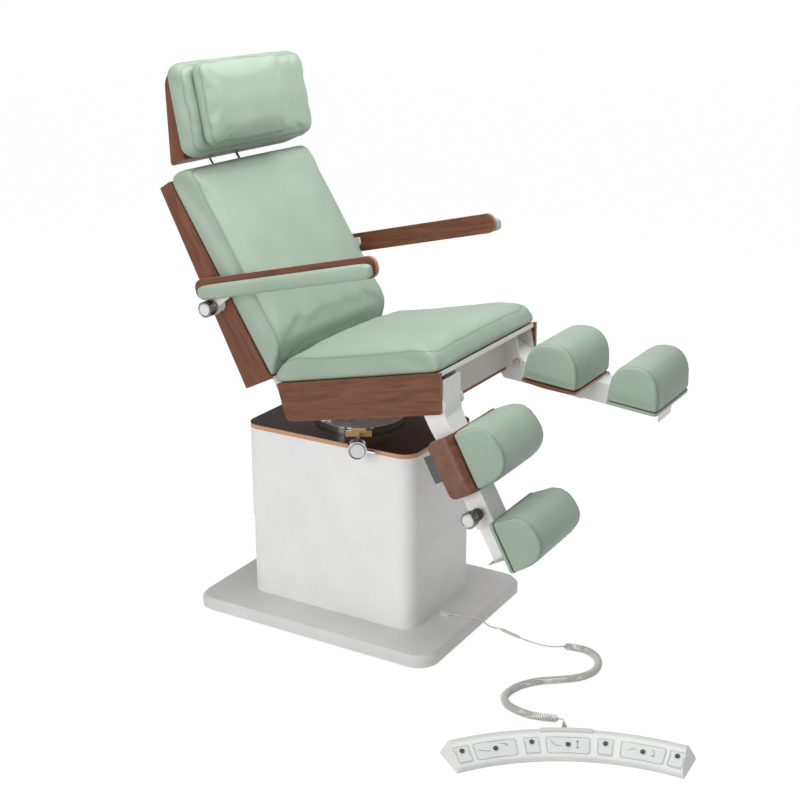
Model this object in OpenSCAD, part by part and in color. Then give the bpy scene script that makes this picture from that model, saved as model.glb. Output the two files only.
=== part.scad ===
// Podiatry chair: seat, back, head and two legs on a telescopic column, with a foot control.
// Millimetres, +Z up, the front of the chair faces -Y, the floor is at zero.
// Pieces of one side are drawn on +X and mirrored for the right-hand side at -X.

/* [Floor plate] */
// Width of the floor plate, side to side
plate_w = 634; // [600:1:700]
// Depth of the floor plate, front to back
plate_d = 827; // [780:1:900]
// Corner radius of the floor plate
plate_r = 65; // [50:1:90]
// Height of the floor plate's top above the floor
plate_top = 40; // [36:1:46]
// Wall of the pressed plate
plate_wall = 4; // [3:0.5:6]
// Height of the levelling feet
foot_h = 6; // [5:0.5:8]
// Diameter of a levelling foot
foot_d = 50; // [40:1:60]

/* [Column and covers] */
// Width of the moving cover
cover_w = 390; // [385:1:420]
// Depth of the moving cover
cover_d = 577; // [560:1:610]
// Corner radius of the moving cover
cover_r = 48; // [40:1:60]
// Sheet of both covers
cover_wall = 2; // [1.5:0.1:3]
// Gap between the covers
cover_gap = 1; // [0.8:0.1:2]
// Lower edge of the moving cover
cover_low = 287; // [280:1:300]
// Top of the fixed cover
fixed_top = 335; // [320:1:345]
// Height of the carrier's top
carrier_top = 575; // [575:1:600]
// Thickness of the wooden top plate
top_t = 13; // [10:1:18]
// Outside of the fixed column stage
column_w = 170; // [170:1:180]
// Wall of the column stages
column_wall = 5; // [4:0.5:5]

/* [Swivel] */
// Diameter of the swivel discs
disc_d = 262; // [250:1:275]
// Direction of the swivel clamp
clamp_angle = 210.3; // [200:0.1:220]
// Radius at which the clamp knob starts
clamp_reach = 262; // [255:1:275]
// Diameter of the clamp knob
clamp_knob_d = 55; // [45:1:60]
// Distance of the tilt axis behind the column's axis
tilt_y = 50; // [45:1:55]
// Height of the tilt axis
tilt_z = 640; // [638:1:645]
// Diameter of the tilt shaft
tilt_d = 25; // [20:1:28]

/* [Seat] */
// Half of the seat's width over the side panels
half_w = 300; // [298:1:306]
// Thickness of the walnut side panels
panel_t = 12; // [10:0.5:14]
// Height of the seat frame's datum
seat_z = 792; // [790:1:800]
// Rearward tilt of the seat
seat_tilt = 12.2; // [11:0.1:13]
// Front end of the side panels, ahead of the datum
seat_front = 445; // [440:1:460]
// Rear end of the side panels, behind the datum
seat_back = 91; // [88:1:92]
// Height of the side panels
panel_h = 112; // [110:1:116]
// Height of the seat cushion at its side
cushion_h = 62; // [55:1:68]
// Rise of the cushions in their middle
crown = 14; // [8:1:18]

/* [Back] */
// Distance of the back pivot behind the column's axis
back_y = 110; // [109:0.5:111]
// Height of the back pivot
back_z = 752; // [750:0.5:753]
// Lean of the back from upright
back_lean = 32.1; // [31:0.1:33]
// Length of the back panels above the pivot
back_u = 652; // [645:1:656]
// Thickness of the back cushion
back_pad = 84; // [76:1:88]
// Height of the armrest pivot along the back
arm_u = 282; // [270:1:300]

/* [Head] */
// Lean of the head part from upright
head_lean = 10.6; // [9:0.1:12]
// Distance of the head part behind the column's axis
head_y = 396; // [394:1:399]
// Height of the head part's lower edge
head_z = 1378; // [1376:1:1382]
// Height of the head part
head_u = 250; // [235:1:260]
// Thickness of the head cushion
head_pad = 60; // [50:1:66]
// Half the distance between the head rods
rod_x = 66; // [62:1:70]
// Diameter of a head rod
rod_d = 12; // [10:1:12]

/* [Armrests] */
// Rise of the armrests above level
arm_rise = 13.1; // [12:0.1:15]
// Length of the armrest ahead of its pivot
arm_len = 576; // [540:1:600]
// Height of the armrest plate
arm_h = 58.5; // [54:0.5:64]
// Length of the armrest pad
arm_pad_len = 585; // [560:1:590]
// Depth of the pad, out from the plate
arm_pad_t = 25; // [18:1:30]

/* [Legs] */
// Distance of the leg hinge ahead of the column's axis
leg_y = 428; // [426:1:430]
// Height of the leg hinge
leg_z = 790.5; // [789:0.5:792]
// Angle of the right leg below level
leg_right = 61.5; // [55:0.5:65]
// Angle of the left leg below level
leg_left = 5.5; // [0:0.5:15]
// Middle of a leg beam, off the chair's middle
leg_x = 237; // [236:0.5:238]
// Width of a leg beam
beam_w = 78; // [76:1:79]
// Height of a leg beam
beam_h = 60; // [58:1:62]
// Length of a leg beam from its hinge
beam_len = 349; // [345:1:351]
// Wall of a leg beam
beam_wall = 4.6; // [4:0.1:5]
// Width of the calf pads
calf_w = 252; // [240:1:252]
// Chord of the calf pads along the leg
calf_chord = 166; // [150:1:168]
// Height of the calf pads
calf_h = 120; // [100:1:125]
// Width of the foot pads
foot_w = 266; // [250:1:270]
// Chord of the foot pads along the leg
foot_chord = 148; // [140:1:152]
// Height of the foot pads
foot_pad_h = 116; // [100:1:120]
// Place of the right foot pad along its leg
foot_pad_right = 338; // [336:1:345]
// Place of the left foot pad along its leg
foot_pad_left = 336; // [336:1:345]

/* [Foot control] */
// Front radius of the curved housing
control_r = 633; // [600:1:650]
// Depth of the housing, front to back
control_d = 100; // [96:1:106]
// Height of the housing
control_h = 42; // [40:1:46]
// Angle that the housing spans
control_span = 52.4; // [50:0.1:54]
// Diameter of the control buttons
button_d = 12; // [10:0.5:13]

/* [Hidden] */

// Overrun of a cut past its face
cut = 1;
// Gap between pieces that pass each other
gap = 0.3;
// Running clearance of a shaft, all round
fit = 0.05;
// Facets of the round shapes
$fn = 64;

// Colours of the finishes
white_coat = "whitesmoke";
walnut = "peru";
vinyl = "mediumseagreen";
bright = "silver";
dark_grey = "dimgray";

// Column stack, worked out from the plate and the carrier
flange_t = 8;
flange_w = 240;
column_foot = plate_top + flange_t;
stage_gap = 2;
mid_w = column_w - 2 * column_wall - 2 * stage_gap;
inner_w = mid_w - 2 * column_wall - 2 * stage_gap;
column_r = 18;
outer_top = 330;
mid_low = 170;
mid_top = 440;
inner_low = 290;
carrier_t = 8;
carrier_low = carrier_top - carrier_t;
carrier_inset = 15;
carrier_w = cover_w - 2 * carrier_inset;
carrier_d = cover_d - 2.4 * carrier_inset;
glide_t = stage_gap - gap;
glide_h = 60;
glide_w = 60;
glide_rise = 2;
gear_size = [110, 56, 30];
spindle_x = 20;
spindle_d = 30;
spindle_top = 300;
screw_d = 20;
screw_low = 205;
screw_top = 445;
screw_collar = [28, 6];
push_d = 42;
push_bore = 34;
push_low = 317;
motor_x = -35;
motor_d = 46;
motor_h = 120;
rim_w = 14;
rim_t = 2;
lid_top = carrier_top + rim_t + top_t;
bolt_d = 14;
bolt_h = 6;
bolt_place = 100;
rib_t = 6;
rib_run = 30;
rib_rise = 60;
rib_place = 55;
rib_clear = 3;
plate_edge = 10;

// Swivel stack above the top plate
disc_t = 8;
ring_t = 4;
ring_r = [95, 110];
boss_d = 96;
spigot_d = 60;
spigot_low = carrier_top + gap;
disc_low = lid_top + disc_t + ring_t + gap;
turn_t = 9.7;
turn_top = disc_low + turn_t;
band_t = 3.3;
band_low = lid_top + 4;
band_h = turn_top - band_low;
band_gap_share = 0.034;
ear_x = 100;
ear_t = 12;
ear_r = 24;
ear_foot = 17;
horn_rise = 80;
drive_x = 60;
rod_pin_d = 14;
horn_r = 15;
horn_t = 6;
eye_t = 11;
eye_gap = 0.5;
block_size = [14, 76, 16.7];
block_r = disc_d / 2 + gap + band_t + gap;
saddle_size = [10, 43, 9];
clamp_rise = 10;
clamp_z = lid_top + clamp_rise;
clamp_rod_d = 8;
clamp_knob_t = 34;
clamp_lever = [12, 52, 7];

// Seat frame, along its own datum line
deck_t = 4;
board_t = 8;
lip_t = 5;
frame_low = -104;
cheek_in = 184;
cheek_t = 6;
lug_t = 4;
panel_in = half_w - panel_t;
cheek_nose_r = 22;
pocket_end = -334;
front_plate_s = -378;
hanger_x = 122;
hanger_t = 6;
cross_tube = [20, 44];
cross_s = -326;
bridge = [30, 22];
bridge_s = -75;
back_lug_x = 250;
back_lug_t = 8;
back_lug_r = 13.5;
pin_d = 16;
drive_d = 44;
drive_bore = 24;
drive_tail = -306;
drive_head = -20;
drive_depth = 182;
rod_engaged = 92;
motor_len = 110;
drive_motor_d = 46;
drive_motor_off = 54;
gear_len = 26;
tilt_rod_h = -60.4;
back_rod_h = -80;
back_horn_r = 75;
back_horn_swing = 33;
slot_air = 1.2;
tilt_slot = [-4, 3];
back_slot = [-13, 0];
corner_r = 22;
bottom_t = 7.7;
window_w = 270;
window_s = -60;

// Back and head, along their own lean
back_front_w = 18;
back_foot_u = 30;
back_drop = 4;
back_rear_share = [38.6 / 652, -78.5 / 652, -21.4 / 652];
rail_size = [40, 32];
tube_u = 64;
tube_w = -30;
tube_d = 30;
cover_t = 8;
back_board_t = 7;
arm_boss_w = -22.6;
arm_boss_d = 40;
stud_d = 16;
stud_end = 352;
rod_w = 4;
rod_low = 400;
rod_eye_u = 745;
rod_eye_r = 12;
rod_eye_t = 15;
guide_size = [24, 22.5];
guide_low_u = [520, 592];
guide_h = 48;
head_shell_wall = 8;
head_corner = 50;
head_foot = [52, -12.6];
head_crest = 14.3;
head_lug_t = 8;
head_pin_d = 10;

// Armrest outlines
arm_inner = 333;
arm_plate_t = 12;
arm_back = 37;
arm_low = 24.5;
arm_corner = 25;
link_t = 8.4;
link_r = 23;
// Outline of a link round its pivot, as shares of its radius
link_shares = [[0.68, -0.7], [-2.65, 0.8], [-3.4, 1.3], [-4.1, 2.2], [-4.1, 3.05], [0.95, 3.05], [0.95, 0]];
arm_knob_d = 46;
arm_knob_end = 371;
arm_pad_start = -18;
arm_pad_left_shift = 18;
arm_pad_h = 43;

// Leg outlines, d along the leg and v out from its upper face
slide_gap = 0.4;
slide_w = beam_w - 2 * beam_wall - 2 * slide_gap;
slide_h = beam_h - 2 * beam_wall - 2 * slide_gap;
slide_wall = 3;
slide_start = 168;
slide_end = 446;
end_plate_t = 3;
end_plate_w = 95;
end_plate_low = -68;
head_w = 93;
head_taper = [40, 110];
cavity_start = 80;
leg_head = [
    [-60, 44], [30, 2], [36, 0], [head_taper[1], 0], [head_taper[1], -beam_h], [-38, -beam_h], [-58, -40]
];
shell_t = 7;
shell_edge = 35;
shell_bulge_r = 240;
shell_side = 310;
shell_bend = 33;
shell_low = -75;
shell_span = [79, 247];
shell_corner = 22;
calf_start = 80;
calf_edge = 48;
calf_clamp = [[250, 302], [112, 190]];
calf_clamp_low = [-105, -84];
board_v = 1;
foot_board_t = 8;
foot_edge = 42;
foot_board_r = 14;
leg_knob_d_place = 306;
leg_knob_v = -30;
leg_screw_d = 10;
leg_knob_end = 345;
leg_knob_d = 46;

// Foot control on the floor, round a centre ahead of it
control_x = -1075;
control_y = -1229;
control_first = 1.8;
control_wall = 3;
control_lean = 24;
control_inset = 1.7;
button_in = 35;
button_small_in = 43;
button_r = control_r + button_in;
button_small_r = control_r + button_small_in;
button_travel = 4;
button_proud = 5;
button_h = 16;
button_edge = 1;
button_flange = 2;
cap_span = 10.9;
cap_rise = 3;
relief_len = 57;
relief_z = 14;

// Profile of a soft D-shaped pad, as shares of its chord and height
d_pad_shares = [
    [0, 0.01], [0.012, 0.3], [0.025, 0.56], [0.1, 0.78], [0.24, 0.92], [0.41, 0.985], [0.58, 1],
    [0.72, 0.95], [0.83, 0.84], [0.915, 0.68], [0.965, 0.48], [0.985, 0.26], [1, 0.03], [0.97, 0],
    [0.5, 0], [0.03, 0]
];
// Stations across a cushion as shares of its half width, with the shrink of the section there
soft_stations_share = [
    [-0.985, 0.72], [-1, 0.97], [-0.985, 1], [-0.93, 1], [-0.8, 1], [-0.5, 1], [0, 1],
    [0.5, 1], [0.8, 1], [0.93, 1], [0.985, 1], [1, 0.97], [0.985, 0.72]
];
// Rise of the cushion's middle at each of those stations
soft_rise_share = [0, 0, 0.06, 0.28, 0.5, 0.85, 1, 0.85, 0.5, 0.28, 0.06, 0, 0];

function to_seat(y, z) = [
    y * cos(seat_tilt) - (z - seat_z) * sin(seat_tilt),
    y * sin(seat_tilt) + (z - seat_z) * cos(seat_tilt)
];
function along_back(u, w) = [
    back_y + u * sin(back_lean) - w * cos(back_lean),
    back_z + u * cos(back_lean) + w * sin(back_lean)
];
tilt_at = to_seat(tilt_y, tilt_z);
pivot_at = to_seat(back_y, back_z);
hinge_at = to_seat(-leg_y, leg_z);
arm_at = along_back(arm_u, arm_boss_w);
head_axis = along_back(rod_eye_u, rod_w);
tilt_pin_at = to_seat(tilt_y, tilt_z + horn_rise);
back_pin_at = pivot_at + back_horn_r * [sin(back_horn_swing), -cos(back_horn_swing)];

module rounded_square(w, d, r) {
    square([w - 2 * r, d], center = true);
    square([w, d - 2 * r], center = true);
    for (x = [-1, 1], y = [-1, 1]) translate([x * (w / 2 - r), y * (d / 2 - r)]) circle(r);
}
module rounded_block(w, d, r, h) linear_extrude(h) rounded_square(w, d, r);
module rounded_tube(w, d, r, wall, h) {
    linear_extrude(h) difference() {
        rounded_square(w, d, r);
        rounded_square(w - 2 * wall, d - 2 * wall, r - wall);
    }
}
module along_x(x0, x1) translate([x0, 0, 0]) rotate([90, 0, 90]) linear_extrude(x1 - x0) children();
module rod_along_x(x0, x1, d) translate([x0, 0, 0]) rotate([0, 90, 0]) cylinder(d = d, h = x1 - x0);
module at_yz(y, z) translate([0, y, z]) children();
module on_side(side) if (side > 0) children(); else mirror([1, 0, 0]) children();
module both_sides() {
    children();
    mirror([1, 0, 0]) children();
}
module block_between(x, y, z) {
    translate([x[0], y[0], z[0]]) cube([x[1] - x[0], y[1] - y[0], z[1] - z[0]]);
}
module seat_place() translate([0, 0, seat_z]) rotate([-seat_tilt, 0, 0]) children();
module back_place() translate([0, back_y, back_z]) rotate([-back_lean, 0, 0]) children();
module head_place() translate([0, head_y, head_z]) rotate([-head_lean, 0, 0]) children();
module arm_place() translate([0, arm_at[0], arm_at[1]]) rotate([-arm_rise, 0, 0]) children();
module leg_place(angle) translate([0, -leg_y, leg_z]) rotate([angle, 0, 0]) children();
module clamp_place() rotate([0, 0, clamp_angle]) children();
module control_place(angle) {
    translate([control_x, control_y, 0]) rotate([0, 0, control_first + angle]) children();
}

function middle(ring) = [for (k = [0:2]) [for (p = ring) p[k]] * [for (p = ring) 1] / len(ring)];
// Closed solid through rings of points, each end closed to its middle
module loft(rings) {
    n = len(rings[0]);
    m = len(rings);
    points = concat([for (r = rings) each r], [middle(rings[0]), middle(rings[m - 1])]);
    sides = [
        for (i = [0:m - 2]) for (j = [0:n - 1]) let (k = (j + 1) % n, a = i * n, b = a + n)
            each [[a + j, b + k, a + k], [a + j, b + j, b + k]]
    ];
    ends = [
        for (j = [0:n - 1]) let (k = (j + 1) % n, b = (m - 1) * n)
            each [[m * n, j, k], [m * n + 1, b + k, b + j]]
    ];
    polyhedron(points, concat(sides, ends));
}
// Shrinks a section towards its middle and lifts its upper points
function soften(section, shrink, rise, top) = let (
    c = [for (k = [0:1]) [for (p = section) p[k]] * [for (p = section) 1] / len(section)]
) [for (p = section) c + shrink * (p - c) + [0, rise * min(1, max(0, p[1]) / top)]];
function across(section, x) = [for (p = section) [x, p[0], p[1]]];
// Cushion drawn by its section along X, crowned between its drawn-in sides
module cushion(section, half, top, lift) {
    loft([
        for (i = [0:len(soft_stations_share) - 1]) let (s = soft_stations_share[i])
            across(soften(section, s[1], lift * soft_rise_share[i], top), s[0] * half)
    ]);
}
// Section of a D-shaped pad, with the leg's length along -Y
function d_section(start, chord, low, h) = [
    for (p = d_pad_shares) [-(start + p[0] * chord), low + p[1] * h]
];

// Floor and pedestal

module floor_plate() color(white_coat) {
    side_h = plate_top - foot_h - plate_edge;
    difference() {
        hull() {
            translate([0, 0, foot_h]) rounded_block(plate_w, plate_d, plate_r, side_h);
            translate([0, 0, plate_top - plate_wall]) rounded_block(plate_w - 2 * plate_edge,
                plate_d - 2 * plate_edge, plate_r - plate_edge, plate_wall);
        }
        hull() {
            translate([0, 0, foot_h - cut]) rounded_block(plate_w - 2 * plate_wall,
                plate_d - 2 * plate_wall, plate_r - plate_wall, side_h);
            translate([0, 0, foot_h]) rounded_block(plate_w - 4 * plate_edge, plate_d - 4 * plate_edge,
                plate_r - 2 * plate_edge, plate_top - foot_h - plate_wall);
        }
    }
    for (x = [-1, 1]) translate([x * bolt_place, 0, (foot_h + plate_top) / 2])
        cube([rib_t, plate_d - 2 * plate_r, plate_top - foot_h - plate_wall], center = true);
    feet_places() translate([0, 0, foot_h]) difference() {
        cylinder(d = 2 * bolt_d, h = plate_top - foot_h - plate_wall / 2);
        translate([0, 0, -cut]) cylinder(d = bolt_d + 2 * fit, h = plate_top - foot_h - plate_wall + cut);
    }
}
module feet_places() {
    for (x = [-1, 1], y = [-1, 1])
        translate([x * (plate_w / 2 - plate_r), y * (plate_d / 2 - plate_r), 0]) children();
}
module levelling_feet() color(dark_grey) {
    feet_places() {
        cylinder(d1 = foot_d, d2 = foot_d * 0.8, h = foot_h);
        cylinder(d = bolt_d, h = plate_top - plate_wall - gap);
    }
    // Pad under the column, between the plate and the floor
    cylinder(d1 = foot_d, d2 = foot_d * 0.8, h = plate_top - plate_wall);
}
module lower_cover() color(white_coat) translate([0, 0, plate_top]) {
    w = cover_w - 2 * cover_wall - 2 * cover_gap;
    d = cover_d - 2 * cover_wall - 2 * cover_gap;
    rounded_tube(w, d, cover_r - cover_wall - cover_gap, cover_wall, fixed_top - plate_top);
    rounded_tube(w, d, cover_r - cover_wall - cover_gap, rim_w, rim_t);
}
module column_outer() color(bright) {
    difference() {
        translate([0, 0, plate_top]) rounded_block(flange_w, flange_w, column_r, flange_t);
        for (x = [-1, 1]) translate([x * bolt_place, 0, plate_top - cut])
            cylinder(d = bolt_d / 2, h = flange_t + 2 * cut);
    }
    translate([0, 0, column_foot])
        rounded_tube(column_w, column_w, column_r, column_wall, outer_top - column_foot);
    for (x = [-1, 1], y = [-1, 1]) translate([x * bolt_place, y * bolt_place, column_foot])
        cylinder(d = bolt_d, h = bolt_h);
    for (side = [0:90:270], x = [-1, 1]) rotate([0, 0, side])
        translate([x * rib_place - rib_t / 2, 0, 0]) along_x(0, rib_t)
            polygon([[column_w / 2, column_foot], [column_w / 2 + rib_run, column_foot],
                [column_w / 2, column_foot + rib_rise]]);
}
module lift_drive() color(dark_grey) {
    translate([0, 0, column_foot + gear_size[2] / 2]) cube(gear_size, center = true);
    gear_top = column_foot + gear_size[2];
    translate([spindle_x, 0, gear_top]) difference() {
        cylinder(d = spindle_d, h = spindle_top - gear_top);
        translate([0, 0, bolt_h]) cylinder(d = screw_d + 2 * fit, h = spindle_top - gear_top);
    }
    translate([motor_x, 0, gear_top]) {
        cylinder(d = motor_d, h = motor_h);
        translate([0, 0, motor_h]) cylinder(d = motor_d / 2, h = bolt_h);
    }
}
module stage_glides(w, low) {
    for (side = [0:90:270]) rotate([0, 0, side])
        translate([w / 2, -glide_w / 2, low + glide_rise]) cube([glide_t, glide_w, glide_h]);
}
module column_mid() color(bright) {
    translate([0, 0, mid_low])
        rounded_tube(mid_w, mid_w, column_r - column_wall, column_wall, mid_top - mid_low);
    stage_glides(mid_w, mid_low);
    translate([spindle_x, 0, screw_low]) {
        cylinder(d = screw_d, h = screw_top - screw_low);
        translate([0, 0, screw_top - screw_low - screw_collar[1]])
            cylinder(d = screw_collar[0], h = screw_collar[1]);
    }
}
module column_inner() color(bright) {
    translate([0, 0, inner_low])
        rounded_tube(inner_w, inner_w, column_r - column_wall, column_wall, carrier_low - inner_low);
    stage_glides(inner_w, inner_low);
    translate([0, 0, carrier_low])
        rounded_block(carrier_w, carrier_d, cover_r - rim_w, carrier_t);
    translate([spindle_x, 0, push_low]) difference() {
        cylinder(d = push_d, h = carrier_low - push_low);
        translate([0, 0, -cut]) cylinder(d = push_bore, h = carrier_low - push_low + cut);
    }
    for (side = [0, 180], x = [-1, 1]) rotate([0, 0, side])
        translate([x * rib_place - rib_t / 2, 0, 0]) along_x(0, rib_t)
            polygon([[column_w / 2 + rib_clear, carrier_low], [carrier_d / 2 - rib_run, carrier_low],
                [column_w / 2 + rib_clear, carrier_low - rib_rise]]);
}
module upper_cover() color(white_coat) {
    translate([0, 0, cover_low])
        rounded_tube(cover_w, cover_d, cover_r, cover_wall, carrier_top + rim_t - cover_low);
    translate([0, 0, carrier_top]) rounded_tube(cover_w, cover_d, cover_r, rim_w, rim_t);
}
module top_plate() color(walnut) translate([0, 0, carrier_top + rim_t]) difference() {
    rounded_block(cover_w, cover_d, cover_r, top_t);
    translate([0, 0, -cut]) cylinder(d = boss_d + 2 * gap, h = top_t + 2 * cut);
}

// Swivel and its clamp

module swivel_base() color(bright) difference() {
    union() {
        translate([0, 0, carrier_top]) cylinder(d = boss_d, h = lid_top - carrier_top);
        translate([0, 0, lid_top]) cylinder(d = disc_d, h = disc_t);
        translate([0, 0, lid_top + disc_t]) difference() {
            cylinder(r = ring_r[1], h = ring_t);
            translate([0, 0, -cut]) cylinder(r = ring_r[0], h = ring_t + 2 * cut);
        }
        translate([0, 0, lid_top + disc_t]) cylinder(d = boss_d, h = ring_t);
    }
    translate([0, 0, carrier_top - cut]) cylinder(d = spigot_d + 2 * fit, h = lid_top);
}
module clamp_band() color(bright) clamp_place() {
    inner = disc_d / 2 + gap;
    difference() {
        translate([0, 0, band_low]) cylinder(r = inner + band_t, h = band_h);
        translate([0, 0, band_low - cut]) cylinder(r = inner, h = band_h + 2 * cut);
        translate([inner, 0, band_low + band_h / 2])
            cube([disc_d / 4, disc_d * band_gap_share, 2 * band_h], center = true);
    }
    for (y = [-1, 1]) translate([inner + band_t / 2, y * (block_size[1] / 2 + band_t), band_low])
        rounded_block(4.3 * band_t, band_t, band_t / 4, band_h);
}
module clamp_block() clamp_place() {
    base = lid_top + gap;
    difference() {
        union() {
            color("darkgoldenrod") translate([block_r, -block_size[1] / 2, base]) cube(block_size);
            color("wheat") translate([block_r, -saddle_size[1] / 2, base + block_size[2]]) cube(saddle_size);
        }
        translate([0, 0, clamp_z]) rod_along_x(block_r - cut, block_r + block_size[0] + cut,
            clamp_rod_d + 2 * fit);
    }
}
module clamp_screw() clamp_place() translate([0, 0, clamp_z]) {
    color(bright) rod_along_x(block_r + gap, clamp_reach + cut, clamp_rod_d);
    color(dark_grey) rod_along_x(clamp_reach, clamp_reach + clamp_knob_t, clamp_knob_d);
    color(dark_grey) rod_along_x(clamp_reach - bolt_h, clamp_reach, clamp_knob_d / 2);
    color("silver") translate([clamp_reach + clamp_knob_t / 2, 0, 0]) rotate([-clamp_knob_t / 3, 0, 0])
        translate([-clamp_lever[0] / 2, 0, -clamp_lever[2] / 2]) {
            cube([clamp_lever[0], clamp_lever[1] - clamp_lever[0] / 2, clamp_lever[2]]);
            translate([clamp_lever[0] / 2, clamp_lever[1] - clamp_lever[0] / 2, 0])
                cylinder(d = clamp_lever[0], h = clamp_lever[2]);
        }
}
module ear_outline(y, z, low, r) {
    polygon([[y - ear_foot, low], [y + ear_foot, low], [y + r, z], [y - r, z]]);
    translate([y, z]) circle(r);
}
module turntable() color(bright) {
    translate([0, 0, disc_low]) cylinder(d = disc_d, h = turn_t);
    translate([0, 0, spigot_low]) cylinder(d = spigot_d, h = disc_low - spigot_low + turn_t / 2);
    both_sides() difference() {
        along_x(ear_x, ear_x + ear_t) ear_outline(tilt_y, tilt_z, turn_top - turn_t / 2, ear_r);
        at_yz(tilt_y, tilt_z) rod_along_x(ear_x - cut, ear_x + ear_t + cut, tilt_d + 2 * fit);
    }
    half = eye_t / 2 + eye_gap;
    for (x = [-drive_x - half - horn_t, -drive_x + half]) difference() {
        along_x(x, x + horn_t)
            ear_outline(tilt_y, tilt_z + horn_rise, turn_top - turn_t / 2, horn_r);
        at_yz(tilt_y, tilt_z) rod_along_x(x - cut, x + horn_t + cut, tilt_d + 2 * fit);
    }
    at_yz(tilt_y, tilt_z + horn_rise)
        rod_along_x(-drive_x - half - horn_t, -drive_x + half + horn_t, rod_pin_d);
}

// Seat

module cheek_outline(front) {
    difference() {
        union() {
            polygon([[front, -deck_t - board_t], [seat_back - cheek_t, -deck_t - board_t],
                [seat_back - 2 * cheek_t, frame_low + corner_r], [seat_back - corner_r - 2 * cheek_t, frame_low],
                [front, frame_low]]);
            translate(hinge_at) circle(cheek_nose_r * 0.9);
            translate([hinge_at[0] - cheek_nose_r / 2, frame_low]) square([cheek_nose_r, -frame_low - deck_t - board_t]);
        }
        translate(hinge_at) circle(d = pin_d + 2 * fit);
    }
}
module seat_frame() color(white_coat) seat_place() {
    deck_low = -board_t - deck_t;
    block_between([-panel_in + lug_t / 2, panel_in - lug_t / 2], [-seat_front + cheek_t, seat_back - lug_t],
        [deck_low, -board_t]);
    block_between([-panel_in + gap, panel_in - gap], [-seat_front + cheek_t, -seat_front + cheek_t + lip_t],
        [deck_low, 0]);
    both_sides() {
        along_x(panel_in - lug_t, panel_in) cheek_outline(hinge_at[0]);
        along_x(cheek_in, cheek_in + cheek_t) cheek_outline(hinge_at[0]);
        block_between([cheek_in, panel_in], [pocket_end, pocket_end + lug_t], [frame_low, deck_low]);
        difference() {
            along_x(hanger_x, hanger_x + hanger_t) {
                polygon([[bridge_s, deck_low], [bridge_s + bridge[0], deck_low - bridge[1]],
                    [tilt_at[0] - ear_r, tilt_at[1]], [tilt_at[0] + ear_r, tilt_at[1]],
                    [seat_back - cheek_t, deck_low]]);
                translate(tilt_at) circle(ear_r);
            }
            at_yz(tilt_at[0], tilt_at[1])
                rod_along_x(hanger_x - cut, hanger_x + hanger_t + cut, tilt_d + 2 * fit);
        }
        difference() {
            along_x(back_lug_x, back_lug_x + back_lug_t) {
                polygon([[0, deck_low], [0, deck_low - 2 * corner_r], [pivot_at[0], pivot_at[1] - back_lug_r],
                    [pivot_at[0], deck_low]]);
                translate(pivot_at) circle(back_lug_r);
            }
            at_yz(pivot_at[0], pivot_at[1])
                rod_along_x(back_lug_x - cut, back_lug_x + back_lug_t + cut, pin_d + 2 * fit);
        }
    }
    block_between([-cheek_in, cheek_in], [front_plate_s, front_plate_s + lug_t], [frame_low, deck_low]);
    block_between([-cheek_in, cheek_in], [cross_s, cross_s + cross_tube[0]],
        [tilt_rod_h - cross_tube[1] / 2, deck_low]);
    block_between([-panel_in + lug_t, panel_in - lug_t], [bridge_s, bridge_s + bridge[0]],
        [deck_low - bridge[1], deck_low]);
}
module side_panel_outline() {
    rear = [seat_back - panel_t / 2, corner_r - panel_h];
    polygon([[-seat_front, 0], [seat_back, 0], rear, [rear[0] - corner_r, -panel_h],
        [-seat_front + corner_r, -panel_h]]);
    translate([rear[0] - corner_r, rear[1]]) circle(corner_r);
}
module seat_panels() color(walnut) seat_place() {
    both_sides() along_x(panel_in, half_w) side_panel_outline();
    block_between([-panel_in, panel_in], [-seat_front + cheek_t + lip_t + gap, seat_back - lug_t],
        [-board_t, 0]);
    difference() {
        block_between([-panel_in, panel_in], [front_plate_s, seat_back - panel_t - corner_r],
            [-panel_h, -panel_h + bottom_t]);
        both_sides() block_between([cheek_in, half_w], [-seat_front, pocket_end], [-panel_h - cut, frame_low]);
        block_between([-window_w / 2, window_w / 2], [window_s, seat_back], [-panel_h - cut, frame_low]);
        both_sides() block_between([back_lug_x - back_lug_t - cut, half_w],
            [seat_back - 2 * panel_t - corner_r, seat_back], [-panel_h - cut, frame_low]);
    }
}
// Side section of the seat cushion: bottom, waterfall front, top, rear end round the back pivot
seat_front_shares = [[0.129, 0.005], [0.032, 0.16], [0.048, 0.45], [0.19, 0.74], [0.52, 0.97], [1.29, 1.05]];
seat_top_shares = [[-0.6, 1.05], [-0.3, 1.05], [-0.09, 1.08]];
seat_rear_shares = [[0.22, 1.1], [0.49, 1.05], [0.72, 0.89], [0.9, 0.69], [1.05, 0.39], [1.15, 0.15], [1.1, 0.005]];
seat_section = concat(
    [[0, gap], [-seat_front * 0.6, gap]],
    [for (p = seat_front_shares) [-seat_front + p[0] * cushion_h, p[1] * cushion_h]],
    [for (p = seat_top_shares) [p[0] * seat_front, p[1] * cushion_h]],
    [for (p = seat_rear_shares) [p[0] * seat_back, p[1] * cushion_h]]
);
module seat_cushion() color(vinyl) seat_place() {
    rings = [for (i = [len(seat_section) - 1:-1:0]) seat_section[i]];
    cushion(rings, half_w, cushion_h, crown);
}
module drive_unit(x, h, side) {
    translate([x, 0, h]) rotate([-90, 0, 0]) {
        translate([0, 0, drive_tail]) difference() {
            cylinder(d = drive_d, h = drive_head - drive_tail);
            translate([0, 0, drive_head - drive_tail - drive_depth])
                cylinder(d = drive_bore + 2 * fit, h = drive_depth + cut);
        }
        translate([side * drive_motor_off, 0, drive_tail + gear_len / 2])
            cylinder(d = drive_motor_d, h = motor_len);
    }
    block_between([min(x, x + side * drive_motor_off) - drive_d / 2, max(x, x + side * drive_motor_off) + drive_d / 2],
        [drive_tail, drive_tail + gear_len], [h - drive_d / 2, h + drive_d / 2]);
}
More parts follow.
